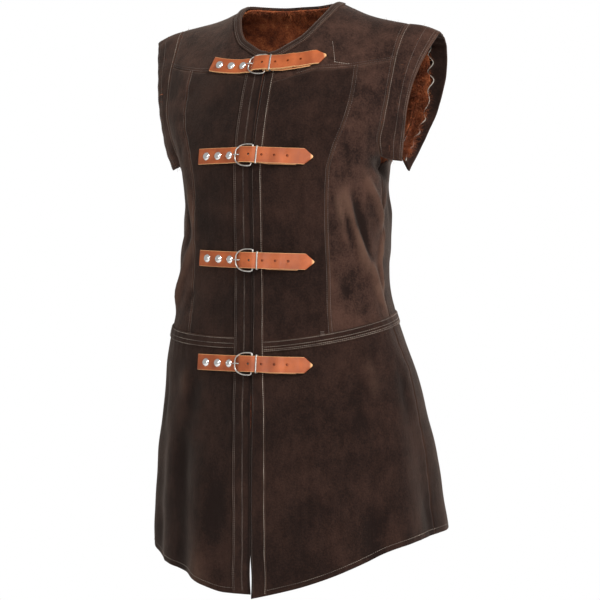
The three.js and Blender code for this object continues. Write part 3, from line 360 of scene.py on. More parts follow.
def wall_mesh(name, outer, inner, material, rub=None):
    """A closed wall between two grids of points, in millimetres, with a UV map laid out in metres."""
    rows, columns = outer.shape[:2]
    total = rows * columns
    points = shrug(np.concatenate([outer.reshape(-1, 3), inner.reshape(-1, 3)]))
    spot = np.arange(total).reshape(rows, columns)
    low = np.stack([spot[:-1, :-1], spot[:-1, 1:], spot[1:, 1:], spot[1:, :-1]], -1).reshape(-1, 4)
    rim = np.concatenate([spot[0, :-1], spot[:-1, -1], spot[-1, :0:-1], spot[:0:-1, 0]])
    after = np.roll(rim, -1)
    edge = np.stack([after, rim, rim + total, after + total], -1)
    faces = np.concatenate([low, low[:, ::-1] + total, edge])
    a, b, c, d = (points[faces[:, k]] for k in range(4))
    if np.sum(np.cross(a, b) * c + np.cross(a, c) * d) < 0:
        faces = faces[:, ::-1]
    mesh = bpy.data.meshes.new(f"sewn_{name}")
    mesh.from_pydata((points / 1000).tolist(), [], faces.tolist())
    across = np.linalg.norm(np.diff(outer, axis=1), axis=-1)
    up = np.linalg.norm(np.diff(outer, axis=0), axis=-1)
    laid_x = np.concatenate([np.zeros((rows, 1)), np.cumsum(across, 1)], 1)
    laid_y = np.concatenate([np.zeros((1, columns)), np.cumsum(up, 0)], 0)
    laid = np.stack([laid_x, laid_y], -1)
    flat = np.concatenate([laid.reshape(-1, 2)] * 2) / 1000
    uv = mesh.uv_layers.new(name="laid")
    corners = np.zeros(len(mesh.loops), int)
    mesh.loops.foreach_get("vertex_index", corners)
    uv.data.foreach_set("uv", flat[corners].ravel())
    # per point: above 0 the nap is rubbed pale, below 0 it is darkened as painted shade
    worn = mesh.attributes.new("rub", "FLOAT", "POINT")
    rub = np.zeros((rows, columns)) if rub is None else rub
    worn.data.foreach_set("value", np.concatenate([rub.ravel()] * 2))
    return shaded_piece(mesh, material)


def panel_grid(sheet, start, end, low, high, size, trims, spacing=4.5):
    """Angles and levels of a panel's grid, and the distance of each place from its edges.
    size is about how wide and high the panel is; trims are left, right, bottom and top."""
    across, up = marks(size[0], spacing), marks(size[1], spacing)
    u, v = np.meshgrid(across / size[0], up / size[1])
    from_edge = [u * size[0], (1 - u) * size[0], v * size[1], (1 - v) * size[1]]
    left, right, bottom, top = trims
    angle, level = np.full_like(u, 40.0), np.zeros_like(u)
    for _ in range(12):
        foot, head = in_mm(low(angle)) + bottom, in_mm(high(angle)) - top
        level = as_level(foot + (head - foot) * v)
        angle = start(level) * (1 - u) + end(level) * u
    angle = angle + (left * (1 - u) - right * u) / mm_per_degree(sheet, angle, level)
    return angle, level, from_edge


def edge_roll(distance):
    return np.exp(-(distance / EDGE_ROLL) ** 1.6)


def suede_panel(name, sheet, side, start, end, low, high, size, trims, turned, outer=0.0, thick=SUEDE,
                finish=None, shade=0.0):
    """A suede panel between two edges, a low and a high line, with size and trims as for panel_grid. turned
    gives how deep its left, right, bottom and top edge roll into a seam, and shade how much painted shade
    darkens
    the left edge. Creases colour the nap: ridges paler, as rubbed nap and painted light, troughs darker, as
    painted shade."""
    angle, level, from_edge = panel_grid(sheet, start, end, low, high, size, trims)
    roll = 0 * angle
    worn = 0 * angle
    for depth, distance in zip(turned, from_edge):
        roll = roll + depth * edge_roll(distance)
        worn = np.maximum(worn, 0.7 * min(depth, 1) * np.exp(-distance / EDGE_WEAR))
    z = plain_point(sheet, angle, level)[..., 2]
    # creases colour the nap: the ridges paler, as rubbed nap and painted light, the troughs darker, as painted
    # shade
    worn = worn + np.clip(fold_lift(CREASES, side, turn_of(sheet, angle), z, FADE_IN) / 4.2, -1.1, 0.9)
    # painted shade along the left edge: on the plackets it darkens the slit between the fronts
    worn = worn - shade * np.exp(-(from_edge[0] / 2.6) ** 2)
    worn_edge = 0.35 * np.exp(-(np.minimum.reduce(from_edge) / 0.6) ** 2)
    outside = place(sheet, side, angle, level, outer - roll - worn_edge)
    inside = place(sheet, side, angle, level, outer - thick - roll * 0.6 + worn_edge)
    return wall_mesh(name, outside, inside, finish or suede, worn)


def feed(tree, node, inputs):
    """Sets a node's inputs, each to a plain value or to the output that feeds it."""
    for socket, value in inputs.items():
        if isinstance(value, bpy.types.NodeSocket):
            tree.links.new(value, node.inputs[socket])
        else:
            node.inputs[socket].default_value = value


def add_node(tree, kind, inputs, **settings):
    node = tree.nodes.new(kind)
    for name, value in settings.items():
        setattr(node, name, value)
    feed(tree, node, inputs)
    return node


def node_group(name, kind, inputs, outputs):
    """A node group, what its inputs give, and its output node. Inputs are name, kind and plain value."""
    tree = bpy.data.node_groups.new(name, kind)
    for label, socket, *plain in inputs:
        made = tree.interface.new_socket(label, in_out="INPUT", socket_type=f"NodeSocket{socket}")
        if plain:
            made.default_value = plain[0]
    for label, socket in outputs:
        tree.interface.new_socket(label, in_out="OUTPUT", socket_type=f"NodeSocket{socket}")
    return tree, tree.nodes.new("NodeGroupInput").outputs, tree.nodes.new("NodeGroupOutput")


def noise(tree, scale, detail, source=None, **more):
    """The value of noise on the piece's own coordinates, or on another source."""
    if source is None:
        source = add_node(tree, "ShaderNodeTexCoord", {}).outputs["Object"]
    tex = add_node(tree, "ShaderNodeTexNoise", {"Vector": source, "Scale": scale, "Detail": detail, **more})
    return tex.outputs["Fac"]


def spread(tree, value, low, high):
    """A value from low to high, spread from 0 to 1."""
    return add_node(tree, "ShaderNodeMapRange", {
        "Value": value, "From Min": low, "From Max": high}).outputs["Result"]


def blend(tree, share, a, b):
    mix = add_node(tree, "ShaderNodeMix", {"Factor": share, "A": a, "B": b}, data_type="RGBA")
    return mix.outputs["Result"]


def maths(tree, kind, a, b):
    return add_node(tree, "ShaderNodeMath", {0: a, 1: b}, operation=kind).outputs[0]


def nap_group():
    """Suede nap: mottled brushed patches, rubbed pale edges, paler crease ridges (rubbed nap and painted
    light), painted shade in crease troughs and along the slit, and a fine tooth.
    """
    tree, given, out = node_group(
        "suede nap", "ShaderNodeTree",
        [("Patch size", "Float"), ("Mottle", "Float"), ("Rub", "Float"), ("Dark", "Color"),
         ("Brushed", "Color"), ("Rubbed", "Color")],
        [("Colour", "Color"), ("Height", "Float"), ("Roughness", "Float")])
    where = add_node(tree, "ShaderNodeTexCoord", {}).outputs["Object"]
    long_way = add_node(tree, "ShaderNodeMapping", {"Vector": where, "Scale": (1, 1, 0.35)}).outputs["Vector"]
    patches = spread(tree, noise(tree, given["Patch size"], 4, Roughness=0.62), 0.38, 0.68)
    strokes = spread(tree, noise(tree, 95, 3, long_way, Roughness=0.7), 0.3, 0.72)
    speckle = spread(tree, noise(tree, 380, 4, Roughness=0.8), 0.32, 0.68)
    rub_marks = spread(tree, noise(tree, 40, 3, Roughness=0.6), 0.25, 0.65)
    worn = add_node(  # 1 where the nap is rubbed pale; below 0 it is painted shade, in the depth of a crease and along the slit
        tree, "ShaderNodeAttribute", {}, attribute_name="rub").outputs["Fac"]

    def add(a, b):
        return maths(tree, "ADD", a, b)

    def times(a, b):
        return maths(tree, "MULTIPLY", a, b)

    brushed = times(add(patches, times(strokes, 0.45)), given["Mottle"])
    brushed = add(brushed, times(maths(tree, "SUBTRACT", speckle, 0.5), 0.75))
    # worn lightens rubbed places, and where it is below 0 it darkens the nap as painted shade
    brushed = add(brushed, times(worn, 0.7))
    brushed = maths(tree, "MINIMUM", maths(tree, "MAXIMUM", brushed, 0.0), 1.0)
    rubbed = times(times(maths(tree, "MAXIMUM", worn, 0.0), given["Rub"]), rub_marks)
    colour = blend(tree, brushed, given["Dark"], given["Brushed"])
    feed(tree, out, {
        "Colour": blend(tree, rubbed, colour, given["Rubbed"]),
        "Height": add(speckle, times(strokes, 0.8)),
        "Roughness": maths(tree, "SUBTRACT", 1.0, times(strokes, 0.12))})
    return tree


NAP = nap_group()


def new_material(name):
    """A material, its node tree and its shader."""
    material = bpy.data.materials.new(name)
    material.use_nodes = True
    return material, material.node_tree, material.node_tree.nodes["Principled BSDF"]


def raised(tree, height, strength, distance):
    return add_node(tree, "ShaderNodeBump", {
        "Height": height, "Strength": strength, "Distance": distance}).outputs["Normal"]


def suede_material(name, dark, brushed, rubbed, patch_size, mottle):
    material, tree, shader = new_material(name)
    nap = add_node(tree, "ShaderNodeGroup", {}, node_tree=NAP)
    feed(tree, nap, {"Patch size": patch_size, "Mottle": mottle, "Rub": 0.45, "Dark": (*dark, 1),
                     "Brushed": (*brushed, 1), "Rubbed": (*rubbed, 1)})
    feed(tree, shader, {
        "Sheen Weight": 0.22, "Sheen Roughness": 0.45, "Sheen Tint": (0.62, 0.5, 0.42, 1),
        "Specular IOR Level": 0.12, "Normal": raised(tree, nap.outputs["Height"], 0.45, 0.0006),
        "Base Color": nap.outputs["Colour"], "Roughness": nap.outputs["Roughness"]})
    return material


suede = suede_material(
    "dark brown suede", (0.0085, 0.0037, 0.0026), (0.034, 0.0155, 0.0105), (0.1, 0.057, 0.039), 16.0, 0.6)
# A lighter copy of the same suede, painted light: it is used on the side fronts, yokes and shoulder bands, so
# that sides and shoulders read lighter than the centre.
painted_light_suede = suede_material(
    "suede painted light", (0.0105, 0.0048, 0.0035), (0.058, 0.0275, 0.019), (0.125, 0.072, 0.048), 18.0, 0.8)


def cloth(piece):
    """A finished sheet rides on the vest and replaces its solid; its cut, laid out flat, in metres, is read
    but not used.
    """
    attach(piece, "root")
    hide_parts(piece.name.removeprefix("sewn_"))
    laid = np.zeros(len(piece.data.uv_layers["laid"].data) * 2)
    piece.data.uv_layers["laid"].data.foreach_get("uv", laid)


MEET = -0.3  # the rolled edges of a plain seam meet in its valley
SEAM_ROLL = 1.1  # how deep a panel's edge rolls into a plain seam
FRONT_WAIST, BACK_WAIST = partial(waist_level, "front"), partial(waist_level, "back")
FRONT_SIDE, BACK_SIDE = partial(side_angle, "front"), partial(side_angle, "back")


def back_neck(angle):
    return look_up(BACK_NECK, angle)


for side, end in SIDES:
    cloth(suede_panel(
        f"centre_front_{end}", "front", side, centre_angle, princess_angle, FRONT_WAIST, yoke_level,
        (122, 395), (0, MEET, MEET, MEET), (0.2, SEAM_ROLL, 0.2, SEAM_ROLL)))
    cloth(suede_panel(
        f"side_front_{end}", "front", side, princess_angle, FRONT_SIDE, FRONT_WAIST, yoke_level, (130, 395),
        (MEET, MEET, MEET, MEET), (SEAM_ROLL, SEAM_ROLL, 0.2, SEAM_ROLL), finish=painted_light_suede))
    cloth(suede_panel(
        f"back_bodice_{end}", "back", side, centre_back, BACK_SIDE, BACK_WAIST, back_neck, (190, 520),
        (MEET, MEET, MEET, 0), (SEAM_ROLL, SEAM_ROLL, 0.2, 0.8)))

# ---------------------------------------------------------------- yokes
# A yoke of the same suede joins each front to its shoulder. Its lower edge is turned under and lies over the
# tops of both front panels, and its upper edge meets the back in the shoulder seam.


def shoulder_seam(angle):
    return 90 + 0 * angle


for side, end in SIDES:
    cloth(suede_panel(
        f"yoke_{end}", "front", side, centre_angle, FRONT_SIDE, yoke_level, shoulder_seam, (200, 165),
        (0, MEET, MEET, 0), (0.2, SEAM_ROLL, 0.5, 0.8), finish=painted_light_suede))

# ---------------------------------------------------------------- skirt
# The skirt part is four suede panels below the dropped waist: two fronts, split at the slit, and two backs.
# They flare to a hem that is turned up and topstitched, low at the front and higher at the sides.


def side_seam(level):
    return 90 + 0 * level


for side, end in SIDES:
    cloth(suede_panel(
        f"skirt_front_{end}", "front", side, centre_angle, side_seam, partial(hem_level, "front", side),
        FRONT_WAIST, (270, 370), (0, MEET, 0, MEET), (0.2, SEAM_ROLL, 0.2, 0.2)))
    cloth(suede_panel(
        f"skirt_back_{end}", "back", side, centre_back, side_seam, partial(hem_level, "back", side),
        BACK_WAIST, (270, 350), (MEET, MEET, 0, MEET), (SEAM_ROLL, SEAM_ROLL, 0.2, 0.2)))

# ---------------------------------------------------------------- waist strip
# A strip of suede is stitched flat over the dropped waist seam, in three lengths: one on each front, from the
# placket to the side seam, and one across the back.
STRIP = 1.6
WAIST_STRIP = 18.0
STRIP_TURNED = (0.25, 0.25, 0.5, 0.5)
PLACKET_RIGHT = 31.0
# the left placket's width at the chest, what it gains, where it starts to widen and over how far
PLACKET_LEFT, PLACKET_FLARE, FLARE_FROM, FLARE_OVER = 18, 8, 120, 420


def placket_width(side, level):
    flare = PLACKET_FLARE * smooth((-level - FLARE_FROM) / FLARE_OVER)
    return PLACKET_RIGHT if side < 0 else PLACKET_LEFT + flare


def placket_angle(side, level):
    return angle_across("front", centre_edge(level) + placket_width(side, level), level)


def strip_foot(sheet, angle):
    return waist_level(sheet, angle) - WAIST_STRIP


for side, end in SIDES:
    cloth(suede_panel(
        f"waist_strip_{end}", "front", side, partial(placket_angle, side), side_seam,
        partial(strip_foot, "front"), FRONT_WAIST, (240, WAIST_STRIP), (SEAM_GAP, MEET, 0, 0), STRIP_TURNED,
        SEAM_GAP + STRIP, STRIP))

halves = []
for side, _ in SIDES:
    angle, level, from_edge = panel_grid(
        "back", centre_back, side_seam, partial(strip_foot, "back"), BACK_WAIST, (250, WAIST_STRIP),
        (0, MEET, 0, 0))
    roll = sum(0.4 * edge_roll(distance) for distance in from_edge[1:])
    worn = np.maximum.reduce([np.exp(-distance / 4) for distance in from_edge[1:]])
    halves.append([place("back", side, angle, level, SEAM_GAP + STRIP - roll),
                   place("back", side, angle, level, SEAM_GAP + 0 * roll), worn])
joined = [np.concatenate([right[:, :0:-1], left], axis=1) for right, left in zip(*halves)]
cloth(wall_mesh("waist_strip_back", joined[0], joined[1], suede, joined[2]))

# ---------------------------------------------------------------- plackets
# A strip of suede doubles each front edge from the neck band to the hem and is topstitched down. The right
# one is broad; the left one is narrower and widens a little towards the hem.
UNDER_BAND, UNDER_BAND_SLOPE = 4.2, 0.15  # how far below the neck line a placket ends, in levels


def placket_top(angle):
    return look_up([(at, level) for level, at in FRONT_NECK], angle) - UNDER_BAND - UNDER_BAND_SLOPE * angle


for side, end in SIDES:
    # the plackets' slit edges get painted shade, so that the slit reads as a dark line
    cloth(suede_panel(
        f"placket_{end}", "front", side, centre_angle, partial(placket_angle, side),
        partial(hem_level, "front", side), placket_top, (PLACKET_RIGHT if side < 0 else 24, 800),
        (0, 0, 0, 0), (0.3, 0.6, 0.3, 0.3), SEAM_GAP + STRIP, STRIP, shade=1.2))

# ---------------------------------------------------------------- neck band
# A suede binding runs round the neck from front edge to front edge, on top of yokes and back. It is cut on
# the curve and held by rows of topstitching.
NECK_BAND = 13.0
NECK_LIFT = 0.3
NECK_OUT = SEAM_GAP + STRIP + NECK_LIFT
NECK_EDGE = 1.2  # how far in the band's edges are rolled


def nearest_spot(sheet, angle, level, target):
    """Angle and level of the place on the plain form that is nearest to a target, started from a guess."""
    for _ in range(6):
        at = plain_point(sheet, angle, level)
        da = (plain_point(sheet, angle + 0.2, level) - at) * 5
        dl = (plain_point(sheet, angle, level - 0.2) - at) * -5
        gap = target - at
        aa, al, ll = (da * da).sum(-1), (da * dl).sum(-1), (dl * dl).sum(-1)
        ga, gl = (gap * da).sum(-1), (gap * dl).sum(-1)
        det = aa * ll - al * al
        angle = np.maximum(0, angle + (ga * ll - gl * al) / det)
        level = np.minimum(90, level + (gl * aa - ga * al) / det)
    return angle, level


def neck_half():
    """The neck line of the left half: front angles and levels, then those of the back."""
    front_level = np.concatenate([np.linspace(FRONT_NECK[0][0], 50, 12), np.linspace(51, 90, 34)])
    back_angle = np.linspace(20.3, 0, 22)
    return [("front", centre_angle(front_level), front_level), ("back", back_angle, back_neck(back_angle))]


def neck_grid(across):
    """Angles and levels at distances across the neck band, in mm from the neck line, for front and back."""
    halves = neck_half()
    edge = np.concatenate([plain_point(*half) for half in halves])
    tangent = unit(np.gradient(np.concatenate([edge, edge[-2:-1] * (-1, 1, 1)]), axis=0)[:-1])
    normal = np.concatenate([plain_normal(*half) for half in halves])
    away = unit(np.cross(tangent, normal))
    grids, start = [], 0
    for sheet, angle, level in halves:
        stop = start + len(angle)
        angles, levels = [], []
        for distance in across:
            target = edge[start:stop] + away[start:stop] * distance
            spot = (angle, level) if distance == 0 else nearest_spot(sheet, angle, level, target)
            angles.append(spot[0])
            levels.append(spot[1])
        grids.append((sheet, np.array(angles), np.array(levels)))
        start = stop
    return grids


def neck_face(grids, outside):
    """The band's grid of points from the right front round the back to the left front."""
    sides = []
    for side, _ in SIDES:
        parts = [place(sheet, side, angle, level, outside + 0 * angle) for sheet, angle, level in grids]
        sides.append(np.concatenate(parts, axis=1))
    return np.concatenate([sides[0], sides[1][:, -2::-1]], axis=1)


band_across = np.array([0, 0.5, 1.3, 3, 5, 7, 9, 10.8, 11.9, 12.6, NECK_BAND])
band_roll = 0.7 * sum(
    np.exp(-(inwards / NECK_EDGE) ** 2) for inwards in (band_across, NECK_BAND - band_across))
band_worn = np.exp(-np.minimum(band_across, NECK_BAND - band_across) / 3)
neck_spots = neck_grid(band_across)
band_outer = neck_face(neck_spots, (NECK_OUT - band_roll)[:, None])
band_inner = neck_face(neck_spots, NECK_OUT - STRIP)
cloth(wall_mesh("neck_band", band_outer, band_inner, suede, band_worn[:, None] + 0 * band_outer[..., 0]))

# ---------------------------------------------------------------- shoulder bands and their facings
# A stiff band of suede, about 40 mm wide, stands out round each armhole and is open under the arm. A suede
# facing lies inside its outer half, and its free edge is frilled and overlocked.
# along the loop: sheet, level of the seam, x, y and z of the outer edge
ARM_LOOP = [
    (0, "front", 3, 206, -50, -262), (1, "front", 12, 214, -57, -228), (2, "front", 24, 220, -58, -188),
    (3, "front", 38, 228, -51, -146), (4, "front", 52, 237, -33, -108), (5, "front", 70, 249, -8, -73),
    (6, "front", 90, 254, 6, -60), (7, "back", 72, 250, 26, -64), (8, "back", 52, 246, 48, -82),
    (9, "back", 35, 237, 60, -132), (10, "back", 22, 221, 60, -182), (11, "back", 12, 202, 49, -224),
    (12, "back", 6, 179, 28, -276),
]
LOOP_LENGTH = 12.0
SHOULDER_TURN = 6
ARM_SEAM_GAP = -0.6
BAND_WIDTH = 38  # from seam to outer edge, about
BAND_BOW = 2.5
FACING, FACING_CLEAR = 1.4, 0.9
FACING_WAVE, FACING_WAVES, FACING_SWAY = 3.2, 21, 0.1
FACING_SHARE = 0.48  # where the facing's free edge lies, from seam (0) to outer edge (1)


def frill_turn(along):
    return 2 * np.pi * FACING_WAVES * along / LOOP_LENGTH + 0.9 * np.sin(along * 2.3)


def frill_lift(along):
    """How far the facing's free edge stands off the band."""
    return FACING_WAVE * (1 + np.sin(frill_turn(along))) / 2


def frill_sway(along):
    """How far the facing's free edge sways across the band, as a share of its width."""
    return FACING_SWAY * np.cos(frill_turn(along)) * (0.8 + 0.3 * np.sin(along * 3.7))


def loop_value(along, column):
    return look_up([(row[0], row[column]) for row in ARM_LOOP], along)


def band_edges(side, along):
    """The seam and the outer edge of a shoulder band, as for the left one."""
    level = loop_value(along, 2)
    seam = {}
    for sheet in ("front", "back"):
        seam[sheet] = place(sheet, side, side_angle(sheet, level), level, 0 * level) * (side, 1, 1)
    seam = np.where((along <= SHOULDER_TURN)[..., None], seam["front"], seam["back"])
    outer = np.stack([loop_value(along, column) for column in (3, 4, 5)], -1)
    return seam, outer


def band_point(side, along, across, off):
    """Point of a shoulder band: along the loop, across from seam (0) to outer edge (1), off its outer face."""
    seam, outer = band_edges(side, along)
    width = np.linalg.norm(outer - seam, axis=-1)
    share = (ARM_SEAM_GAP + (width - ARM_SEAM_GAP) * across) / width

    def between(at):
        low, high = band_edges(side, at)
        return low + (high - low) * share[..., None]

    tangent = between(along + 0.15) - between(along - 0.15)
    normal = unit(np.cross(outer - seam, tangent))
    point = seam + (outer - seam) * share[..., None]
    soft = 0.7 * np.sin(along * 4.1 + side) * np.sin(across * 3.4) + 0.35 * np.sin(along * 11.3) * across
    return (point + normal * (off + BAND_BOW * np.sin(np.pi * across) + soft)[..., None]) * (side, 1, 1)


for side, end in SIDES:
    across = np.array([
        0, 0.02, 0.05, 0.09, 0.16, 0.25, 0.35, 0.45, 0.55, 0.65, 0.75, 0.84, 0.91, 0.95, 0.98, 1])
    along, across = np.meshgrid(np.linspace(0, LOOP_LENGTH, 170), across)
    from_edge = np.minimum(across, 1 - across) * BAND_WIDTH
    roll = 0.8 * np.exp(-(from_edge / 1.4) ** 2)
    band = wall_mesh(
        f"arm_band_{end}", band_point(side, along, across, -roll),
        band_point(side, along, across, -SUEDE + 0 * along), painted_light_suede, 0.7 * np.exp(-from_edge / 2))
    cloth(band)

    along, across = np.meshgrid(np.linspace(0, LOOP_LENGTH, FACING_WAVES * 14), np.linspace(0, 1, 9))
    inside = SUEDE + FACING_CLEAR + frill_lift(along) * (1 - across) ** 1.4
    facing_share = FACING_SHARE + (1 - FACING_SHARE) * across + frill_sway(along) * (1 - across) ** 1.2
    facing = wall_mesh(
        f"arm_facing_{end}", band_point(side, along, facing_share, -inside),
        band_point(side, along, facing_share, -inside - FACING), suede, 0.6 * np.exp(-across * 12))
    cloth(facing)

# ---------------------------------------------------------------- fur lining
# The vest is lined with short rust-brown fur on its backing, sewn in along neck and armholes and short of slit
# and hem, with a strip of the same fur inside each shoulder band. The pile grows inwards, and it is thickest
# along the edges, where it shows.
FUR_NEAR = 1.5  # from the suede's inner face
BACKING = 1.3
PRESSED_PILE = 1.2
FUR_FROM_HEM, FUR_FROM_SLIT = 10.0, 9.0
THIN_PILE = 0.06  # growth where nothing shows, as a share of the full pile


def tone(tree, value, stops):
    """A colour picked by a value. Each stop is a place and its colour."""
    ramp = add_node(tree, "ShaderNodeValToRGB", {"Fac": value})
    while len(ramp.color_ramp.elements) < len(stops):
        ramp.color_ramp.elements.new(0.5)
    for element, (at, colour) in zip(ramp.color_ramp.elements, stops):
        element.position = at
        element.color = (*colour, 1)
    return ramp.outputs["Color"]


def fur_material():
    material, tree, shader = new_material("rust brown fur")
    strands = noise(tree, 480, 2)
    mix = add_node(tree, "ShaderNodeMix", {"Factor": 0.4, "A": noise(tree, 55, 5), "B": strands})
    colour = tone(tree, mix.outputs["Result"], (
        (0.3, (0.03, 0.008, 0.0035)), (0.46, (0.16, 0.036, 0.011)), (0.58, (0.33, 0.085, 0.027)),
        (0.74, (0.56, 0.24, 0.09))))
    feed(tree, shader, {
        "Sheen Weight": 0.25, "Sheen Roughness": 0.35, "Sheen Tint": (0.9, 0.5, 0.25, 1),
        "Specular IOR Level": 0.25, "Roughness": 0.75, "Base Color": colour,
        "Normal": raised(tree, strands, 0.8, 0.0015)})
    return material


fur = fur_material()


def axes(tree, **parts):
    return add_node(tree, "ShaderNodeCombineXYZ", parts).outputs["Vector"]


def chance(tree, low, high, seed):
    """A random vector for every copy."""
    return add_node(tree, "FunctionNodeRandomValue", {"Min": low, "Max": high, "Seed": seed},
                    data_type="FLOAT_VECTOR").outputs["Value"]


def finished(tree, given, planted, turn):
    """The planted copies turned, made real and given their material."""
    turned = add_node(tree, "GeometryNodeRotateInstances", {
        "Instances": planted.outputs["Instances"], "Rotation": turn})
    real = add_node(tree, "GeometryNodeRealizeInstances", {"Geometry": turned.outputs["Instances"]})
    return add_node(tree, "GeometryNodeSetMaterial", {
        "Geometry": real.outputs["Geometry"], "Material": given["Finish"]}).outputs["Geometry"]


def pile_tree():
    """Grows tapering, curled hairs that lean every way on a surface."""
    tree, given, out = node_group(
        "fur pile", "GeometryNodeTree",
        [("Backing", "Geometry"), ("Hairs per square metre", "Float", 2.4e5), ("Length", "Float", 0.008),
         ("Thickness", "Float", 0.00042), ("Lean", "Float", 0.75), ("Seed", "Int", 4),
         ("Finish", "Material")],
        [("Fur", "Geometry")])
    shown = add_node(tree, "GeometryNodeInputNamedAttribute", {"Name": "pile"}, data_type="FLOAT").outputs[0]
    roots = add_node(tree, "GeometryNodeDistributePointsOnFaces", {
        "Mesh": given["Backing"], "Density": maths(tree, "MULTIPLY", shown, given["Hairs per square metre"]),
        "Seed": given["Seed"]})
    hair = add_node(tree, "GeometryNodeMeshCone", {
        "Vertices": 3, "Side Segments": 2, "Radius Top": 0, "Depth": 1, "Radius Bottom": given["Thickness"]},
        fill_type="NONE")
    cut = add_node(tree, "GeometryNodeTransform", {
        "Geometry": hair.outputs["Mesh"], "Scale": axes(tree, X=1, Y=1, Z=given["Length"])})
    spot = add_node(tree, "GeometryNodeInputPosition", {}).outputs["Position"]
    height = add_node(tree, "ShaderNodeSeparateXYZ", {"Vector": spot}).outputs["Z"]
    curl = maths(tree, "MULTIPLY", maths(tree, "MULTIPLY", height, height), 55)
    curled = add_node(tree, "GeometryNodeSetPosition", {
        "Geometry": cut.outputs["Geometry"], "Offset": axes(tree, X=curl)})
    planted = add_node(tree, "GeometryNodeInstanceOnPoints", {
        "Points": roots.outputs["Points"], "Instance": curled.outputs["Geometry"],
        "Rotation": roots.outputs["Rotation"], "Scale": chance(tree, (0.8, 0.8, 0.55), (1.3, 1.3, 1.15), 11)})
    lean = axes(tree, X=given["Lean"], Y=given["Lean"], Z=1)
    tilt = add_node(tree, "ShaderNodeVectorMath", {
        0: chance(tree, (-1, -1, -3.14), (1, 1, 3.14), 12), 1: lean}, operation="MULTIPLY")
    feed(tree, out, {"Fur": finished(tree, given, planted, tilt.outputs["Vector"])})
    return tree


PILE = pile_tree()


def baked(piece, tree, **sizes):
    """Gives a piece a tree's result as its plain mesh, under the same name."""
    modifier = piece.modifiers.new("made", "NODES")
    modifier.node_group = tree
    for item in tree.interface.items_tree:
        name = item.name.replace(" ", "_").lower()
        if item.in_out == "INPUT" and name in sizes:
            modifier[item.identifier] = sizes[name]
    graph = bpy.context.evaluated_depsgraph_get()
    mesh = bpy.data.meshes.new_from_object(
        piece.evaluated_get(graph), preserve_all_data_layers=True, depsgraph=graph)
    piece.modifiers.remove(modifier)
    old = piece.data
    piece.data = mesh
    bpy.data.meshes.remove(old)
    mesh.name = piece.name


def grow(piece, pile, seed, **sizes):
    """Grows pile on a wall's inner face, by its share at each place, in place of the wall."""
    grown = piece.data.attributes.new("pile", "FLOAT", "POINT")
    grown.data.foreach_set("value", np.concatenate([0 * pile.ravel(), pile.ravel()]))
    baked(piece, PILE, seed=seed, finish=fur, **sizes)
    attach(piece, "root")


def fur_piece(name, outer, inner, pile, seed, density=2.1e5, length=0.008):
    """A strip of backing between two grids that grows pile on its inner face, as thick as pile says."""
    backing = wall_mesh(name, outer, inner, fur)
    hairs = backing.copy()
    hairs.data = backing.data.copy()
    hairs.name = f"pile_{name}"
    bpy.context.scene.collection.objects.link(hairs)
    grow(hairs, pile, seed, hairs_per_square_metre=density, length=length)
    cloth(backing)


def lining_grid(sheet, side, start, end, low, high, size, trims):
    angle, level, from_edge = panel_grid(sheet, start, end, low, high, size, trims, 8.0)
    tufts = 0.8 * np.sin(angle * 1.9 + level / 7) * np.sin(level / 5.3) + 0.6 * np.sin(level / 2.3 + angle)
    outer = place(sheet, side, angle, level, -(SUEDE + FUR_NEAR) + 0 * angle)
    inner = place(sheet, side, angle, level, -(SUEDE + FUR_NEAR + BACKING) - PRESSED_PILE + tufts)
    return angle, level, from_edge, outer, inner


def full_along_edges(from_edge, level, deep):
    """How thick the pile grows: full beside the armhole and deep mm below the neck, thinner at the hem."""
    _, from_armhole, from_hem, from_neck = from_edge
    pile = np.exp(-(np.maximum(from_neck - deep, 0) / 45) ** 2) + np.exp(-(from_hem / 25) ** 2) * 0.7
    return np.clip(pile + np.exp(-(from_armhole / 22) ** 2) * (level > 4), THIN_PILE, 1)


for side, end in SIDES:
    angle, level, from_edge, outer, inner = lining_grid(
        "front", side, centre_angle, FRONT_SIDE, partial(hem_level, "front", side), shoulder_seam, (280, 900),
        (FUR_FROM_SLIT, 0.8, FUR_FROM_HEM, 1.5))
    pile = full_along_edges(from_edge, level, 0) * smooth(from_edge[0] / 20)
    fur_piece(f"lining_front_{end}", outer, inner, pile, 5 + side)
    angle, level, from_edge, outer, inner = lining_grid(
        "back", side, centre_back, BACK_SIDE, partial(hem_level, "back", side), back_neck, (240, 900),
        (MEET, 0.8, FUR_FROM_HEM, 1.5))
    pile = full_along_edges(from_edge, level, 30)
    fur_piece(f"lining_back_{end}", outer, inner, pile, 9 + side)

    along, across = np.meshgrid(np.linspace(0, LOOP_LENGTH, 150), np.linspace(0, 1, 7))
    share = -0.03 + (FACING_SHARE - 0.02) * across
    off = -(SUEDE + FUR_NEAR) + 0 * along
    tufts = 0.6 * np.sin(along * 9.1 + across * 4) * np.sin(across * 9 + along * 3)
    pile = 1 + 2 * np.exp(-(np.minimum(along, LOOP_LENGTH - along) / 0.3) ** 2)  # thickest at its two ends
    fur_piece(f"arm_lining_{end}", band_point(side, along, share, off),
              band_point(side, along, share, off - BACKING + tufts), pile, 13 + side,
              density=3.4e5, length=0.0105)
    # the strip's ends are left open, and longer hair hangs out there: first in front, then behind
    for number, start, stop, low, high, density in (
            (1, 0, 0.3, 0.02, 0.4, 1.6e6), (2, 9.6, 11.8, 0.2, 0.42, 5e5)):
        along, across = np.meshgrid(np.linspace(start, stop, 24), np.linspace(low, high, 6))
        off = -(SUEDE + FUR_NEAR + BACKING) + 0 * along
        tuft = wall_mesh(f"underarm_{number}_{end}", band_point(side, along, across, off),
                         band_point(side, along, across, off - 0.4), fur)
        tuft.name = f"pile_underarm_{number}_{end}"
        grow(tuft, np.ones(along.shape), 17 + side, hairs_per_square_metre=density, length=0.013)

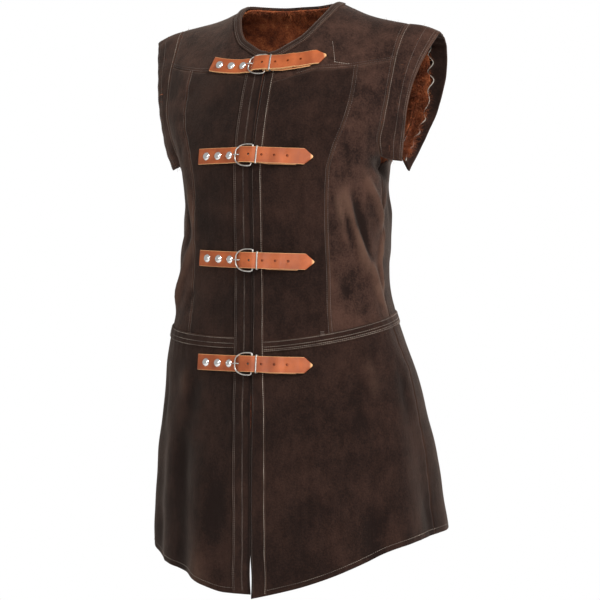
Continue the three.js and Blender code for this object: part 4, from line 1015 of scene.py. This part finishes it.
# ---------------------------------------------------------------- topstitching
# Pale waxed thread, about 0.6 mm thick, runs in rows beside the seams and round every edge, and is soiled
# dark in many of them. Each stitch is a short raised loop that dives into the suede at both ends.
STITCH_PITCH = 3.3
STITCH_LENGTH = 2.7
THREAD = 0.62
# how far rows stand from their seam or edge
BY_PRINCESS, BY_SEAM, BY_BAND = 2.6, 3, 3.2
OVER_YOKE_SEAM = (2.4, 7.4)
OVER_HEM = 8.5
STRIP_DROPS = {-1: (2.2, 10.4, 17.2), 1: (2.2, 9.6, 13.6, 16)}
BAND_SHARES = (0.09, 0.6, 0.87, 0.95)  # across a shoulder band, from seam (0) to outer edge (1)
NECK_ROWS = (2.0, 8.2, NECK_BAND - 1.8)
# height over the suede's face: drawn in beside the seams, standing proud at the hem and the left yoke
SUNK, SUNK_DEEP, PROUD = -0.1, -0.15, 0.05


def thread_material(name, dull, bright):
    material, tree, shader = new_material(name)
    feed(tree, shader, {
        "Roughness": 0.6, "Sheen Weight": 0.2,
        "Base Color": tone(tree, noise(tree, 26, 4), ((0.36, dull), (0.66, bright)))})
    return material


pale_thread = thread_material("pale waxed thread", (0.1, 0.075, 0.06), (0.46, 0.38, 0.3))
light_thread = thread_material("clean thread", (0.24, 0.19, 0.15), (0.7, 0.61, 0.5))
soiled_thread = thread_material("soiled thread", (0.028, 0.018, 0.013), (0.18, 0.13, 0.1))
overlock_thread = thread_material("overlock thread", (0.32, 0.28, 0.23), (0.68, 0.64, 0.56))


def stitch_tree():
    """Lays stitches end to end along lines whose points carry the suede's normal."""
    tree, given, out = node_group(
        "row of stitches", "GeometryNodeTree",
        [("Rows", "Geometry"), ("Pitch", "Float"), ("Length", "Float"), ("Thickness", "Float"),
         ("Skew", "Float"), ("Seed", "Int", 2), ("Finish", "Material")],
        [("Stitches", "Geometry")])
    line = add_node(tree, "GeometryNodeMeshToCurve", {"Mesh": given["Rows"]})
    even = add_node(tree, "GeometryNodeResampleCurve", {
        "Curve": line.outputs["Curve"], "Length": given["Pitch"]}, mode="LENGTH")
    normal = add_node(tree, "GeometryNodeInputNamedAttribute", {"Name": "up"}, data_type="FLOAT_VECTOR")
    stand = add_node(tree, "FunctionNodeAlignRotationToVector", {"Vector": normal.outputs[0]}, axis="Z")
    tangent = add_node(tree, "GeometryNodeInputTangent", {}).outputs["Tangent"]
    along = add_node(tree, "FunctionNodeAlignRotationToVector", {
        "Rotation": stand.outputs["Rotation"], "Vector": tangent}, axis="X", pivot_axis="Z")
    ball = add_node(tree, "GeometryNodeMeshUVSphere", {"Segments": 6, "Rings": 4, "Radius": 0.5})
    shaped = add_node(tree, "GeometryNodeTransform", {
        "Geometry": ball.outputs["Mesh"],
        "Scale": axes(tree, X=given["Length"], Y=given["Thickness"], Z=given["Thickness"])})
    planted = add_node(tree, "GeometryNodeInstanceOnPoints", {
        "Points": even.outputs["Curve"], "Instance": shaped.outputs["Geometry"],
        "Rotation": along.outputs["Rotation"]})
    sway = add_node(tree, "FunctionNodeRandomValue", {2: -0.07, 3: 0.07, "Seed": given["Seed"]}).outputs[1]
    slant = axes(tree, Z=maths(tree, "ADD", sway, given["Skew"]))
    feed(tree, out, {"Stitches": finished(tree, given, planted, slant)})
    return tree


STITCHES = stitch_tree()


def sew(name, rows, thread=pale_thread, pitch=STITCH_PITCH, length=STITCH_LENGTH, thickness=THREAD, skew=0.0):
    """One piece of stitching from rows, each a pair of points and normals, in millimetres."""
    points, edges, ups = [], [], []
    for line, normal in rows:
        line = shrug(line) / 1000
        edges += [(len(points) + k, len(points) + k + 1) for k in range(len(line) - 1)]
        points += line.tolist()
        ups.append(normal)
    mesh = bpy.data.meshes.new(name)
    mesh.from_pydata(points, edges, [])
    up = mesh.attributes.new("up", "FLOAT_VECTOR", "POINT")
    up.data.foreach_set("vector", np.concatenate(ups).ravel())
    piece = new_piece(name, mesh)
    baked(piece, STITCHES, pitch=pitch / 1000, length=length / 1000, thickness=thickness / 1000, skew=skew,
          seed=3, finish=thread)
    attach(piece, "root")


def row_on(sheet, side, angle, level, outside):
    """A row of stitches on the suede, from its angles and levels."""
    angle, level = np.broadcast_arrays(np.asarray(angle, float), np.asarray(level, float))
    normal = plain_normal(sheet, angle, level) * (side, 1, 1)
    return place(sheet, side, angle, level, outside + 0 * angle), normal


def per_mm(sheet, angle, level):
    """Degrees for a millimetre across the sheet."""
    return 1 / mm_per_degree(sheet, angle, level)


STRIP_FACE = SEAM_GAP + STRIP + 0.1
bodice_rows, skirt_rows, edge_rows, bright_rows, dense_rows, fine_rows, band_rows = ([] for _ in range(7))
for side, _ in SIDES:
    # princess seams: a row on either side, from the waist up to the yoke
    level = np.linspace(waist_level("front", 40), yoke_level(40), 160)
    angle = princess_angle(level)
    for shift in (-BY_PRINCESS, BY_PRINCESS):
        beside = angle + shift * per_mm("front", angle, level)
        bodice_rows.append(row_on("front", side, beside, level, SUNK_DEEP))
    # yoke seam: two rows above it, from the neck edge to the armhole
    angle = np.linspace(15, 59.5, 120)
    for lift in OVER_YOKE_SEAM:
        bodice_rows.append(row_on("front", side, angle, yoke_level(angle) + lift / ROLL_MM, SUNK))
    # side and back seams: a row beside each
    level = np.linspace(waist_level("front", 90), -3, 120)
    beside = 90 - BY_SEAM * per_mm("front", 89 + 0 * level, level)
    bodice_rows.append(row_on("front", side, beside, level, SUNK))
    level = np.linspace(waist_level("back", 0), 72, 200)
    bodice_rows.append(row_on("back", side, BY_SEAM * per_mm("back", 1 + 0 * level, level), level, SUNK_DEEP))
    level = np.linspace(hem_level("back", side, 0) + 8, waist_level("back", 0) - WAIST_STRIP, 140)
    skirt_rows.append(row_on("back", side, BY_SEAM * per_mm("back", 1 + 0 * level, level), level, SUNK_DEEP))
    # shoulder seam
    angle = np.linspace(23, 62, 60)
    bodice_rows.append(row_on("front", side, angle, 88.6 + 0 * angle, SUNK))
    # waist strip: three rows on the right, four on the left
    for drop in STRIP_DROPS[side]:
        angle = np.linspace(placket_angle(side, waist_level("front", 8.0)) + 0.4, 89.6, 160)
        skirt_rows.append(row_on("front", side, angle, waist_level("front", angle) - drop, STRIP_FACE))
        angle = np.linspace(0.2, 89.6, 160)
        skirt_rows.append(row_on("back", side, angle, waist_level("back", angle) - drop, STRIP_FACE))
    # hem: one row above the turned-up edge, right round
    angle = np.linspace(placket_angle(side, -640.0) + 0.4, 89.8, 160)
    skirt_rows.append(row_on("front", side, angle, hem_level("front", side, angle) + OVER_HEM, PROUD))
    angle = np.linspace(0.2, 89.8, 160)
    skirt_rows.append(row_on("back", side, angle, hem_level("back", side, angle) + OVER_HEM, PROUD))
    # plackets: a double row along the right one's outer edge and a dense row down it; a bright row and a fine
    # row down the left one
    level = np.linspace(hem_level("front", side, 3.0) + 7, 41.5 if side < 0 else 41, 420)
    outer_edge = placket_width(side, level)
    if side < 0:
        placed = ((outer_edge - 1.6, edge_rows), (outer_edge - 4.2, bodice_rows), (12.8, dense_rows))
    else:
        placed = ((outer_edge - 2.0, bright_rows), (3.0, fine_rows))
    for from_slit, rows in placed:
        spot = angle_across("front", centre_edge(level) + from_slit, level)
        rows.append(row_on("front", side, spot, level, STRIP_FACE))
    # armhole: a row on the body beside the band
    for sheet in ("front", "back"):
        level = np.linspace(9, 87, 110)
        angle = side_angle(sheet, level)
        bodice_rows.append(row_on(sheet, side, angle - BY_BAND * per_mm(sheet, angle, level), level, SUNK))
    # shoulder band: a row beside the seam, one past the middle and two round the outer edge
    along = np.linspace(0.12, LOOP_LENGTH - 0.12, 170)
    for share in BAND_SHARES:
        above = band_point(side, along, share + 0 * along, 0.05)
        below = band_point(side, along, share + 0 * along, -1.0)
        (band_rows if share == BAND_SHARES[0] else edge_rows).append((above, unit(above - below)))
neck_lines = neck_grid(np.array(NECK_ROWS))
for k in range(len(NECK_ROWS)):
    one_line = [(sheet, angle[k:k + 1], level[k:k + 1]) for sheet, angle, level in neck_lines]
    points = neck_face(one_line, NECK_OUT + 0.02)[0]
    below = neck_face(one_line, NECK_OUT - 1)[0]
    edge_rows.append((points, unit(points - below)))
# left yoke: a short row down from the shoulder that turns a corner towards the armhole
corner = np.linspace(0, 1, 30)
bright_rows.append(row_on("front", 1, 27 + 3 * corner, 54 - 9.5 * corner, PROUD))
bright_rows.append(row_on("front", 1, 30 + 6 * corner, 44.5 + 0.5 * corner, PROUD))
# left front: a small bar of close stitches beside the waist strip
bar = np.linspace(-2.2, 2.2, 12)
for step in np.linspace(0, 5, 6):
    level = bar - 256
    angle = 34.6 + step * per_mm("front", 35 + 0 * bar, level)
    fine_rows.append(row_on("front", 1, angle, level, STRIP_FACE))
sew("stitching_bodice", bodice_rows, soiled_thread)
sew("stitching_skirt", skirt_rows)
sew("stitching_edges", edge_rows, soiled_thread)
sew("stitching_bright", bright_rows, light_thread)
sew("stitching_bands", band_rows)
sew("stitching_fine", fine_rows, soiled_thread, pitch=2.2, length=1.7, thickness=0.55)
sew("stitching_placket_dense", dense_rows, soiled_thread, pitch=1.9, length=3.4, thickness=0.6, skew=1.1)

# ---------------------------------------------------------------- overlocked facing edges
# Pale overlock thread is sewn over the frilled free edge of each facing. It stands as a thin rope along that
# edge, a little thicker and thinner by turns.
ROPE, ROPE_UNEVEN = 0.95, 0.12


def rod(line, normal, wide, high, closed, sides=12):
    """Points and faces of a rod with an oval section along a line."""
    if closed:
        tangent = unit(np.roll(line, -1, 0) - np.roll(line, 1, 0))
    else:
        tangent = unit(np.gradient(line, axis=0))
    across = unit(np.cross(normal, tangent))
    lift = np.cross(tangent, across)
    turn = np.linspace(0, 2 * np.pi, sides, endpoint=False)[None, :, None]
    wide, high = (np.broadcast_to(np.asarray(v, float), len(line))[:, None, None] for v in (wide, high))
    points = line[:, None] + wide * np.cos(turn) * across[:, None] + high * np.sin(turn) * lift[:, None]
    rings = len(line) if closed else len(line) - 1
    faces = [(i * sides + k, i * sides + (k + 1) % sides, (i + 1) % len(line) * sides + (k + 1) % sides,
              (i + 1) % len(line) * sides + k) for i in range(rings) for k in range(sides)]
    if not closed:
        last = (len(line) - 1) * sides
        faces += [tuple(range(sides))[::-1], tuple(range(last, last + sides))]
    return points.reshape(-1, 3), faces


for side, end in SIDES:
    along = np.linspace(0.02, LOOP_LENGTH - 0.02, FACING_WAVES * 16)
    depth = SUEDE + FACING_CLEAR + frill_lift(along) + FACING / 2
    share = FACING_SHARE + frill_sway(along)
    line = band_point(side, along, share, -depth)
    beside = unit(line - band_point(side, along, share, 1 - depth))
    wrap = ROPE + ROPE_UNEVEN * np.sin(np.arange(len(along)) * 2.4)
    points, faces = rod(line, beside, wrap, wrap, False, 6)
    mesh = bpy.data.meshes.new(f"overlock_{end}")
    mesh.from_pydata((shrug(points) / 1000).tolist(), [], [face[::-1] for face in faces])
    rope = shaded_piece(mesh, overlock_thread)
    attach(rope, "root")

# ---------------------------------------------------------------- closure straps and tabs
# Four straps of smooth tan leather, 25 mm wide, are riveted to the right front and close on the left. Each is
# cut to a point, punched with round holes, creased along its edges and left with pale raw edges. A folded tab
# of the same leather is sewn to the left front and holds the buckle.
STRAP_THICK, TAB_THICK = 2.6, 1.5
STRAP_HALF, TAB_HALF = 12.5, 12.0
SOFT_EDGE = 0.3
CREASE_IN = 2.4  # the creased line from the edge
BEND_LINES = (-10.6, -9.4, 0, 9.4, 10.6)  # across the width: beside each creased line, and the middle
# x and radius of each hole; the first takes the tongue
HOLES = ((-18.6, 2.5), (-0.5, 2), (20.5, 2), (41, 2.1), (61.5, 2.2))
BAR_X, BAR_N = 3.0, 5.4
# x across the body and height of the strap's underside off the suede
STRAP_PATH = [
    (-101, 0.5), (-85, 0.5), (-62, 0.5), (-46, 0.5), (-32.6, 2.3), (-21.5, 2.6), (-17, 7.9), (-14, 9.2),
    (3, 9.5), (7, 8.9), (11, 7.2), (22, 5.9), (34, 4.2), (48, 4.2), (57, 2.5), (78, 2.4), (87, 0.9),
    (93, 0.7), (101, 0.6),
]
# x and height of the middle of the tab's leather, from its upper end round the bar to its sewn end
TAB_PATH = [
    (48, 3.05), (34, 3.1), (22, 4.8), (11, 6.1), (6, 7.4), (3, 7.85), (1.27, 7.13), (0.55, 5.4), (1.27, 3.67),
    (3, 2.95), (11, 2.95), (22, 2.95), (32, 1.4), (55, 1.25), (78, 1.25),
]


def leather_material():
    material, tree, shader = new_material("tan strap leather")
    edge, crease = (add_node(tree, "ShaderNodeAttribute", {}, attribute_name=name).outputs["Fac"]
                    for name in ("raw edge", "crease"))
    base = blend(
        tree, spread(tree, noise(tree, 34, 4), 0.33, 0.7), (0.28, 0.06, 0.014, 1), (0.46, 0.107, 0.025, 1))
    base = blend(tree, spread(tree, noise(tree, 260, 3), 0.62, 0.8), base, (0.25, 0.048, 0.014, 1))
    base = blend(tree, crease, base, (0.26, 0.05, 0.014, 1))
    where = add_node(tree, "ShaderNodeTexCoord", {}).outputs["Object"]
    grain = add_node(tree, "ShaderNodeTexVoronoi", {"Vector": where, "Scale": 1100}).outputs["Distance"]
    feed(tree, shader, {
        "Specular IOR Level": 0.4, "Coat Weight": 0.12, "Coat Roughness": 0.35,
        "Base Color": blend(tree, edge, base, (0.82, 0.45, 0.2, 1)),
        "Roughness": spread(tree, noise(tree, 120, 3), -0.6, 1.6),
        "Normal": raised(tree, grain, 0.3, 0.00025)})
    return material


leather = leather_material()


def front_at(x, z):
    """Point and normal of the smooth front at a distance from the centre and a height."""
    low, high = np.full(x.shape, -700.0), np.full(x.shape, 80.0)
    for _ in range(40):
        level = (low + high) / 2
        above = plain_point("front", angle_across("front", np.abs(x), level), level)[..., 2] >= z
        low, high = np.where(above, low, level), np.where(above, level, high)
    angle = angle_across("front", np.abs(x), low)
    flip = np.stack([np.where(x < 0, -1, 1), 1 + 0 * x, 1 + 0 * x], -1)
    return plain_point("front", angle, low) * flip, plain_normal("front", angle, low) * flip


def closure_ground(closure):
    """Gives points at a closure from x across, w up the strap's width and n out from the suede."""
    _, z, slope, sag = closure
    steps = np.arange(-106.0, 107.0, 1.0)

    def front(x):
        return front_at(x, z + slope * x + sag * x * x)

    ground, normal = front(steps)
    tangent = unit(front(steps + 1)[0] - front(steps - 1)[0])
    up = unit(np.cross(normal, tangent))

    def at(x, w, n):
        x, w, n = np.broadcast_arrays(np.asarray(x, float), np.asarray(w, float), np.asarray(n, float))
        parts = [np.stack([np.interp(x, steps, v[:, k]) for k in range(3)], -1) for v in (ground, up, normal)]
        return parts[0] + parts[1] * w[..., None] + parts[2] * n[..., None]

    return at


def flat_leather(outline, holes, thick, cuts):
    """A flat piece of leather with soft edges, cut across at many places so that it can bend."""
    shape = bpy.data.curves.new("cut shape", "CURVE")
    shape.dimensions = "2D"
    shape.fill_mode = "BOTH"
    shape.extrude = thick / 2 - SOFT_EDGE
    shape.bevel_depth = SOFT_EDGE
    shape.bevel_resolution = 1
    shape.offset = -SOFT_EDGE
    turn = np.linspace(0, 2 * np.pi, 15)[:-1]
    for loop in [outline] + [[(x + r * np.cos(t), r * np.sin(t)) for t in turn] for x, r in holes]:
        spline = shape.splines.new("POLY")
        spline.points.add(len(loop) - 1)
        spline.points.foreach_set("co", np.array([(x, w, 0, 1) for x, w in loop], float).ravel())
        spline.use_cyclic_u = True
    cutter = new_piece("cut shape", shape)
    graph = bpy.context.evaluated_depsgraph_get()
    flat = bpy.data.meshes.new_from_object(cutter.evaluated_get(graph))
    bpy.data.objects.remove(cutter)
    bpy.data.curves.remove(shape)
    work = bmesh.new()
    work.from_mesh(flat)
    bpy.data.meshes.remove(flat)
    bmesh.ops.remove_doubles(work, verts=work.verts, dist=0.01)
    for axis, places in ((0, cuts), (1, BEND_LINES)):
        for at in places:
            co, no = [0, 0, 0], [0, 0, 0]
            co[axis], no[axis] = at, 1
            bmesh.ops.bisect_plane(
                work, geom=work.verts[:] + work.edges[:] + work.faces[:], plane_co=co, plane_no=no,
                dist=0.001)
    bmesh.ops.recalc_face_normals(work, faces=work.faces)
    return work


def leather_piece(name, work, bend, half, tip_from):
    """Bends flat leather into place. bend takes x, w and height and gives points in millimetres. tip_from is
    the x of the outline's pointed tip, or None."""
    flat = np.array([v.co for v in work.verts])
    mesh = bpy.data.meshes.new(f"cut_{name}")
    work.to_mesh(mesh)
    work.free()
    points = shrug(bend(flat[:, 0], flat[:, 1], flat[:, 2])) / 1000
    mesh.vertices.foreach_set("co", points.ravel())
    inside = half - np.abs(flat[:, 1])
    if tip_from:
        inside = np.minimum(inside, (tip_from - flat[:, 0] - 0.45 * np.abs(flat[:, 1])) * 0.9)
    for label, value in (("raw edge", np.clip(1.15 - inside / 0.55, 0, 1)),
                         ("crease", 0.55 * np.exp(-((inside - CREASE_IN) / 0.6) ** 2))):
        mesh.attributes.new(label, "FLOAT", "POINT").data.foreach_set("value", value)
    piece = shaded_piece(mesh, leather)
    mesh.set_sharp_from_angle(angle=0.7)
    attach(piece, "root")
    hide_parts(name)


strap_outline = [
    (-101, -11.7), (-100.3, -12.5), (86.5, -12.5), (88, -12.1), (99.6, -1.6), (100, 0), (99.6, 1.6),
    (88, 12.1), (86.5, 12.5), (-100.3, 12.5), (-101, 11.7),
]
tab_along = np.concatenate([[0], np.cumsum(np.hypot(*np.diff(np.array(TAB_PATH), axis=0).T))])
TAB_BAR = tab_along[7]  # where the tab's leather passes behind the bar
tab_x, tab_n = np.array(TAB_PATH).T
STRAP_LEAN = (0.5, -0.25, 0.2, -0.1)  # how far each strap wanders off its middle line
for closure, lean in zip(CLOSURES, STRAP_LEAN):
    name = closure[0]
    at = closure_ground(closure)

    def bend_strap(x, w, height):
        under = look_up(STRAP_PATH, x)
        slope = look_up(STRAP_PATH, x + 0.5) - look_up(STRAP_PATH, x - 0.5)
        off = height / np.sqrt(1 + slope * slope)
        settle = 0.25 * np.sin(x / 9.0 + lean * 5) * smooth((x - 15) / 30)
        return at(x - off * slope, w + lean * np.sin(x / 38), under + STRAP_THICK / 2 + off + settle)

    leather_piece(f"{name}_strap", flat_leather(
        strap_outline, HOLES, STRAP_THICK, np.concatenate([np.arange(-98, -34, 4), np.arange(-34, 98, 2.4)])),
        bend_strap, STRAP_HALF, 99.5)

    def bend_tab(along, w, height):
        x, n = (np.interp(along, tab_along, v) for v in (tab_x, tab_n))
        dx = np.interp(along + 0.4, tab_along, tab_x) - np.interp(along - 0.4, tab_along, tab_x)
        dn = np.interp(along + 0.4, tab_along, tab_n) - np.interp(along - 0.4, tab_along, tab_n)
        length = np.hypot(dx, dn)
        droop = 1.7 * smooth((along - TAB_BAR - 8) / 26)
        return at(x + height * dn / length, w - droop, n - height * dx / length)

    end = tab_along[-1]
    tab_outline = [
        (0, -TAB_HALF), (TAB_BAR - 6, -TAB_HALF), (TAB_BAR + 6, -TAB_HALF), (end - 3, -TAB_HALF), (end, -9),
        (end, TAB_HALF), (0, TAB_HALF)]
    cuts = np.concatenate([np.arange(3, TAB_BAR - 8, 4), np.arange(TAB_BAR - 8, TAB_BAR + 8, 1),
                           np.arange(TAB_BAR + 9, end, 4)])
    leather_piece(f"{name}_tab", flat_leather(tab_outline, [], TAB_THICK, cuts), bend_tab, TAB_HALF, None)

# ---------------------------------------------------------------- buckles, keepers and rivets
# Each strap has a nickel-plated wire buckle: a D-shaped frame, a tongue curled round its bar and a flat
# keeper loop that takes the strap's end. Three domed rivets with turned rims fix the strap to the right front.
WIRE = 1.25
KEEPER_X = 12.5
# half the keeper's width, its middle's height off the suede and half its own height
KEEPER_HALF, KEEPER_MIDDLE, KEEPER_RISE = 14.3, 7.5, 3.1
KEEPER_THICK, KEEPER_WIDE = 0.45, 1.3  # half of each
RIVETS = (-84, -61, -39)
# radius and height of a rivet's turned rim and dome
RIVET_PROFILE = [
    (0, 0), (6.3, 0), (6.5, 0.3), (6.35, 0.65), (6.1, 0.75), (5.9, 1.2), (5.3, 1.95), (4.3, 2.7), (3, 3.2),
    (1.5, 3.48), (0, 3.55)]
RIVET_SIDES = 28
# x across the body and w up the width, half of the frame's line
FRAME_HALF = [
    (3, 0), (3, 14), (1.4, 16.6), (-2, 17.2), (-12, 16.6), (-19.5, 13.5), (-24, 9.5), (-25.5, 5), (-25.5, 0)]
FRAME_TILT = (7.2 - BAR_N) / 28.5  # the rounded end stands higher, over the strap
# x across the body and height of the tongue's middle, from its curl round the bar to its tip
TONGUE_PATH = [
    (4.6, 3.4), (5.7, 4.9), (5.3, 6.8), (3.4, 7.9), (0.5, 8.1), (-4, 7.8), (-12, 7.6), (-15.5, 8.0),
    (-18.6, 9.2), (-21.5, 10.1), (-25.5, 10.0), (-28.5, 9.5),
]


def metal_material(name, light, dark, rough, worn=0.12):
    """Bright metal that is duller and rougher, by worn, where it is rubbed."""
    material, tree, shader = new_material(name)
    wear = noise(tree, 150, 4)
    haze = add_node(tree, "ShaderNodeMapRange", {"Value": wear, "To Min": rough + worn, "To Max": rough})
    feed(tree, shader, {
        "Metallic": 1, "Base Color": tone(tree, wear, ((0.35, dark), (0.55, light))),
        "Roughness": haze.outputs["Result"]})
    return material


nickel = metal_material("nickel plate", (0.66, 0.63, 0.59), (0.46, 0.43, 0.39), 0.32)
polished = metal_material("polished dome", (0.88, 0.87, 0.85), (0.84, 0.83, 0.8), 0.17, 0.05)


def soft_line(points, count, closed):
    """A smooth line through points, evenly spaced."""
    points = np.array(points, float)
    if closed:
        points = np.concatenate([points[-1:], points, points[:2]])
    else:
        points = np.concatenate([2 * points[:1] - points[1:2], points, 2 * points[-1:] - points[-2:-1]])
    t = np.linspace(0, 1, 12, endpoint=False)[:, None]
    p0, p1, p2, p3 = points[:-3, None], points[1:-2, None], points[2:-1, None], points[3:, None]
    line = 0.5 * (2 * p1 + (p2 - p0) * t + (2 * p0 - 5 * p1 + 4 * p2 - p3) * t ** 2
                  + (3 * p1 - p0 - 3 * p2 + p3) * t ** 3)
    line = line.reshape(-1, points.shape[1])
    line = np.concatenate([line, line[:1] if closed else points[-2:-1]])
    run = np.concatenate([[0], np.cumsum(np.linalg.norm(np.diff(line, axis=0), axis=1))])
    at = np.linspace(0, run[-1], count + 1)[:-1] if closed else np.linspace(0, run[-1], count)
    return np.stack([np.interp(at, run, line[:, k]) for k in range(line.shape[1])], -1)


def metal_piece(name, points, faces, material):
    mesh = bpy.data.meshes.new(f"made_{name}")
    mesh.from_pydata((shrug(points) / 1000).tolist(), [], faces)
    work = bmesh.new()
    work.from_mesh(mesh)
    bmesh.ops.recalc_face_normals(work, faces=work.faces)
    work.to_mesh(mesh)
    work.free()
    piece = shaded_piece(mesh, material)
    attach(piece, "root")
    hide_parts(name)


for closure in CLOSURES:
    name = closure[0]
    at = closure_ground(closure)

    def out(x):
        return unit(at(x, 0 * x, 1 + 0 * x) - at(x, 0 * x, 0 * x))

    loop = FRAME_HALF + [(x, -w) for x, w in FRAME_HALF[-2:0:-1]]
    plan = soft_line(loop, 96, True)
    line = at(plan[:, 0], plan[:, 1], BAR_N + (BAR_X - plan[:, 0]) * FRAME_TILT)
    metal_piece(f"{name}_frame", *rod(line, out(plan[:, 0]), WIRE, WIRE * 0.9, True), nickel)

    path = soft_line(TONGUE_PATH, 40, False)
    slim = 1.15 - 0.3 * np.linspace(0, 1, 40) ** 2
    line = at(path[:, 0], 0 * path[:, 0], path[:, 1])
    side = unit(at(path[:, 0], 1 + 0 * path[:, 0], path[:, 1]) - line)
    metal_piece(f"{name}_tongue", *rod(line, side, slim, slim, False), nickel)

    turn = np.linspace(0, 2 * np.pi, 64, endpoint=False)
    loop_w = KEEPER_HALF * np.sign(np.cos(turn)) * np.abs(np.cos(turn)) ** 0.25
    loop_n = KEEPER_MIDDLE + KEEPER_RISE * np.sign(np.sin(turn)) * np.abs(np.sin(turn)) ** 0.35
    line = at(KEEPER_X + 0 * turn, loop_w, loop_n)
    along = unit(at(KEEPER_X + 1 + 0 * turn, loop_w, loop_n) - line)
    metal_piece(f"{name}_keeper", *rod(line, along, KEEPER_THICK, KEEPER_WIDE, True), nickel)

    for number, x in enumerate(RIVETS, 1):
        before, under, after = look_up(STRAP_PATH, np.array([x - 0.5, x, x + 0.5]))
        slope, foot = after - before, under + STRAP_THICK
        ring = np.linspace(0, 2 * np.pi, RIVET_SIDES, endpoint=False)
        points = np.concatenate([
            at(x + radius * np.cos(ring), radius * np.sin(ring),
               foot + 0.1 + height + slope * radius * np.cos(ring))
            for radius, height in RIVET_PROFILE])
        faces = []
        for low in range(0, (len(RIVET_PROFILE) - 1) * RIVET_SIDES, RIVET_SIDES):
            high = low + RIVET_SIDES
            faces += [(low + k, low + (k + 1) % RIVET_SIDES, high + (k + 1) % RIVET_SIDES, high + k)
                      for k in range(RIVET_SIDES)]
        metal_piece(f"{name}_rivet_{number}", points, faces, polished)

# ---------------------------------------------------------------- floor, light and camera
# The vest is shown on its own, held up as if worn, over a plain pale floor in soft studio light. The camera
# stands five metres off, a little to the wearer's left, level with the lower chest.
FLOOR_Z = -1.25
FLOOR_RADIUS = 2.1
FLOOR_SIDES = 96


def plain_material(name, colour, rough):
    material, tree, shader = new_material(name)
    feed(tree, shader, {"Base Color": (*colour, 1), "Roughness": rough})
    return material


floor_mesh = bpy.data.meshes.new("floor")
rim = np.linspace(0, 2 * np.pi, FLOOR_SIDES, endpoint=False)
floor_mesh.from_pydata([(FLOOR_RADIUS * np.cos(t), FLOOR_RADIUS * np.sin(t), FLOOR_Z) for t in rim], [],
                       [tuple(range(FLOOR_SIDES))])
floor = shaded_piece(floor_mesh, plain_material("pale floor", (0.86, 0.86, 0.86), 0.9))

world = bpy.data.worlds.new("studio")
bpy.context.scene.world = world
world.use_nodes = True
studio = world.node_tree
seen = add_node(studio, "ShaderNodeLightPath", {}).outputs["Is Camera Ray"]
strength = add_node(studio, "ShaderNodeMapRange", {
    "Value": seen, "To Min": 0.42,  # what lights the vest
    "To Max": 1.0})  # what shows behind it
feed(studio, studio.nodes["Background"], {"Color": (1, 1, 1, 1), "Strength": strength.outputs["Result"]})
bpy.context.scene.view_settings.view_transform = "Standard"
middle = mathutils.Vector((0, -0.05, -0.45))
for name, spot, size, power in (
        ("key", (3.0, -1.5, 1.9), 1.2, 170), ("fill", (0.4, -4.0, 0.5), 1.5, 46),
        ("back", (0.6, 3.0, 1.4), 1.8, 40)):
    lamp = bpy.data.lights.new(name, "AREA")
    lamp.energy = power
    lamp.size = size
    light = new_piece(name, lamp)
    light.location = spot
    light.rotation_euler = (middle - light.location).to_track_quat("-Z", "Y").to_euler()

AZIMUTH, DISTANCE = np.radians(27), 5.0
CAMERA_TILT = np.radians(-2)  # the camera is turned a little about its own axis
CAMERA_Z, AIM_Z, AIM_RIGHT = -0.32, -0.4768, 0.016
away = np.array([np.sin(AZIMUTH), -np.cos(AZIMUTH), 0])
to_right = np.array([np.cos(AZIMUTH), np.sin(AZIMUTH), 0])
axis = np.array([0, -0.05, 0])
lens = bpy.data.cameras.new("camera")
lens.sensor_width = 36
lens.lens = 187.5
camera = new_piece("camera", lens)
stand = axis + away * DISTANCE + (0, 0, CAMERA_Z)
target = axis + to_right * AIM_RIGHT + (0, 0, AIM_Z)
aim = mathutils.Vector(target - stand).to_track_quat("-Z", "Y")
camera.location = stand
camera.rotation_euler = (aim @ mathutils.Euler((0, 0, CAMERA_TILT)).to_quaternion()).to_euler()
bpy.context.scene.camera = camera
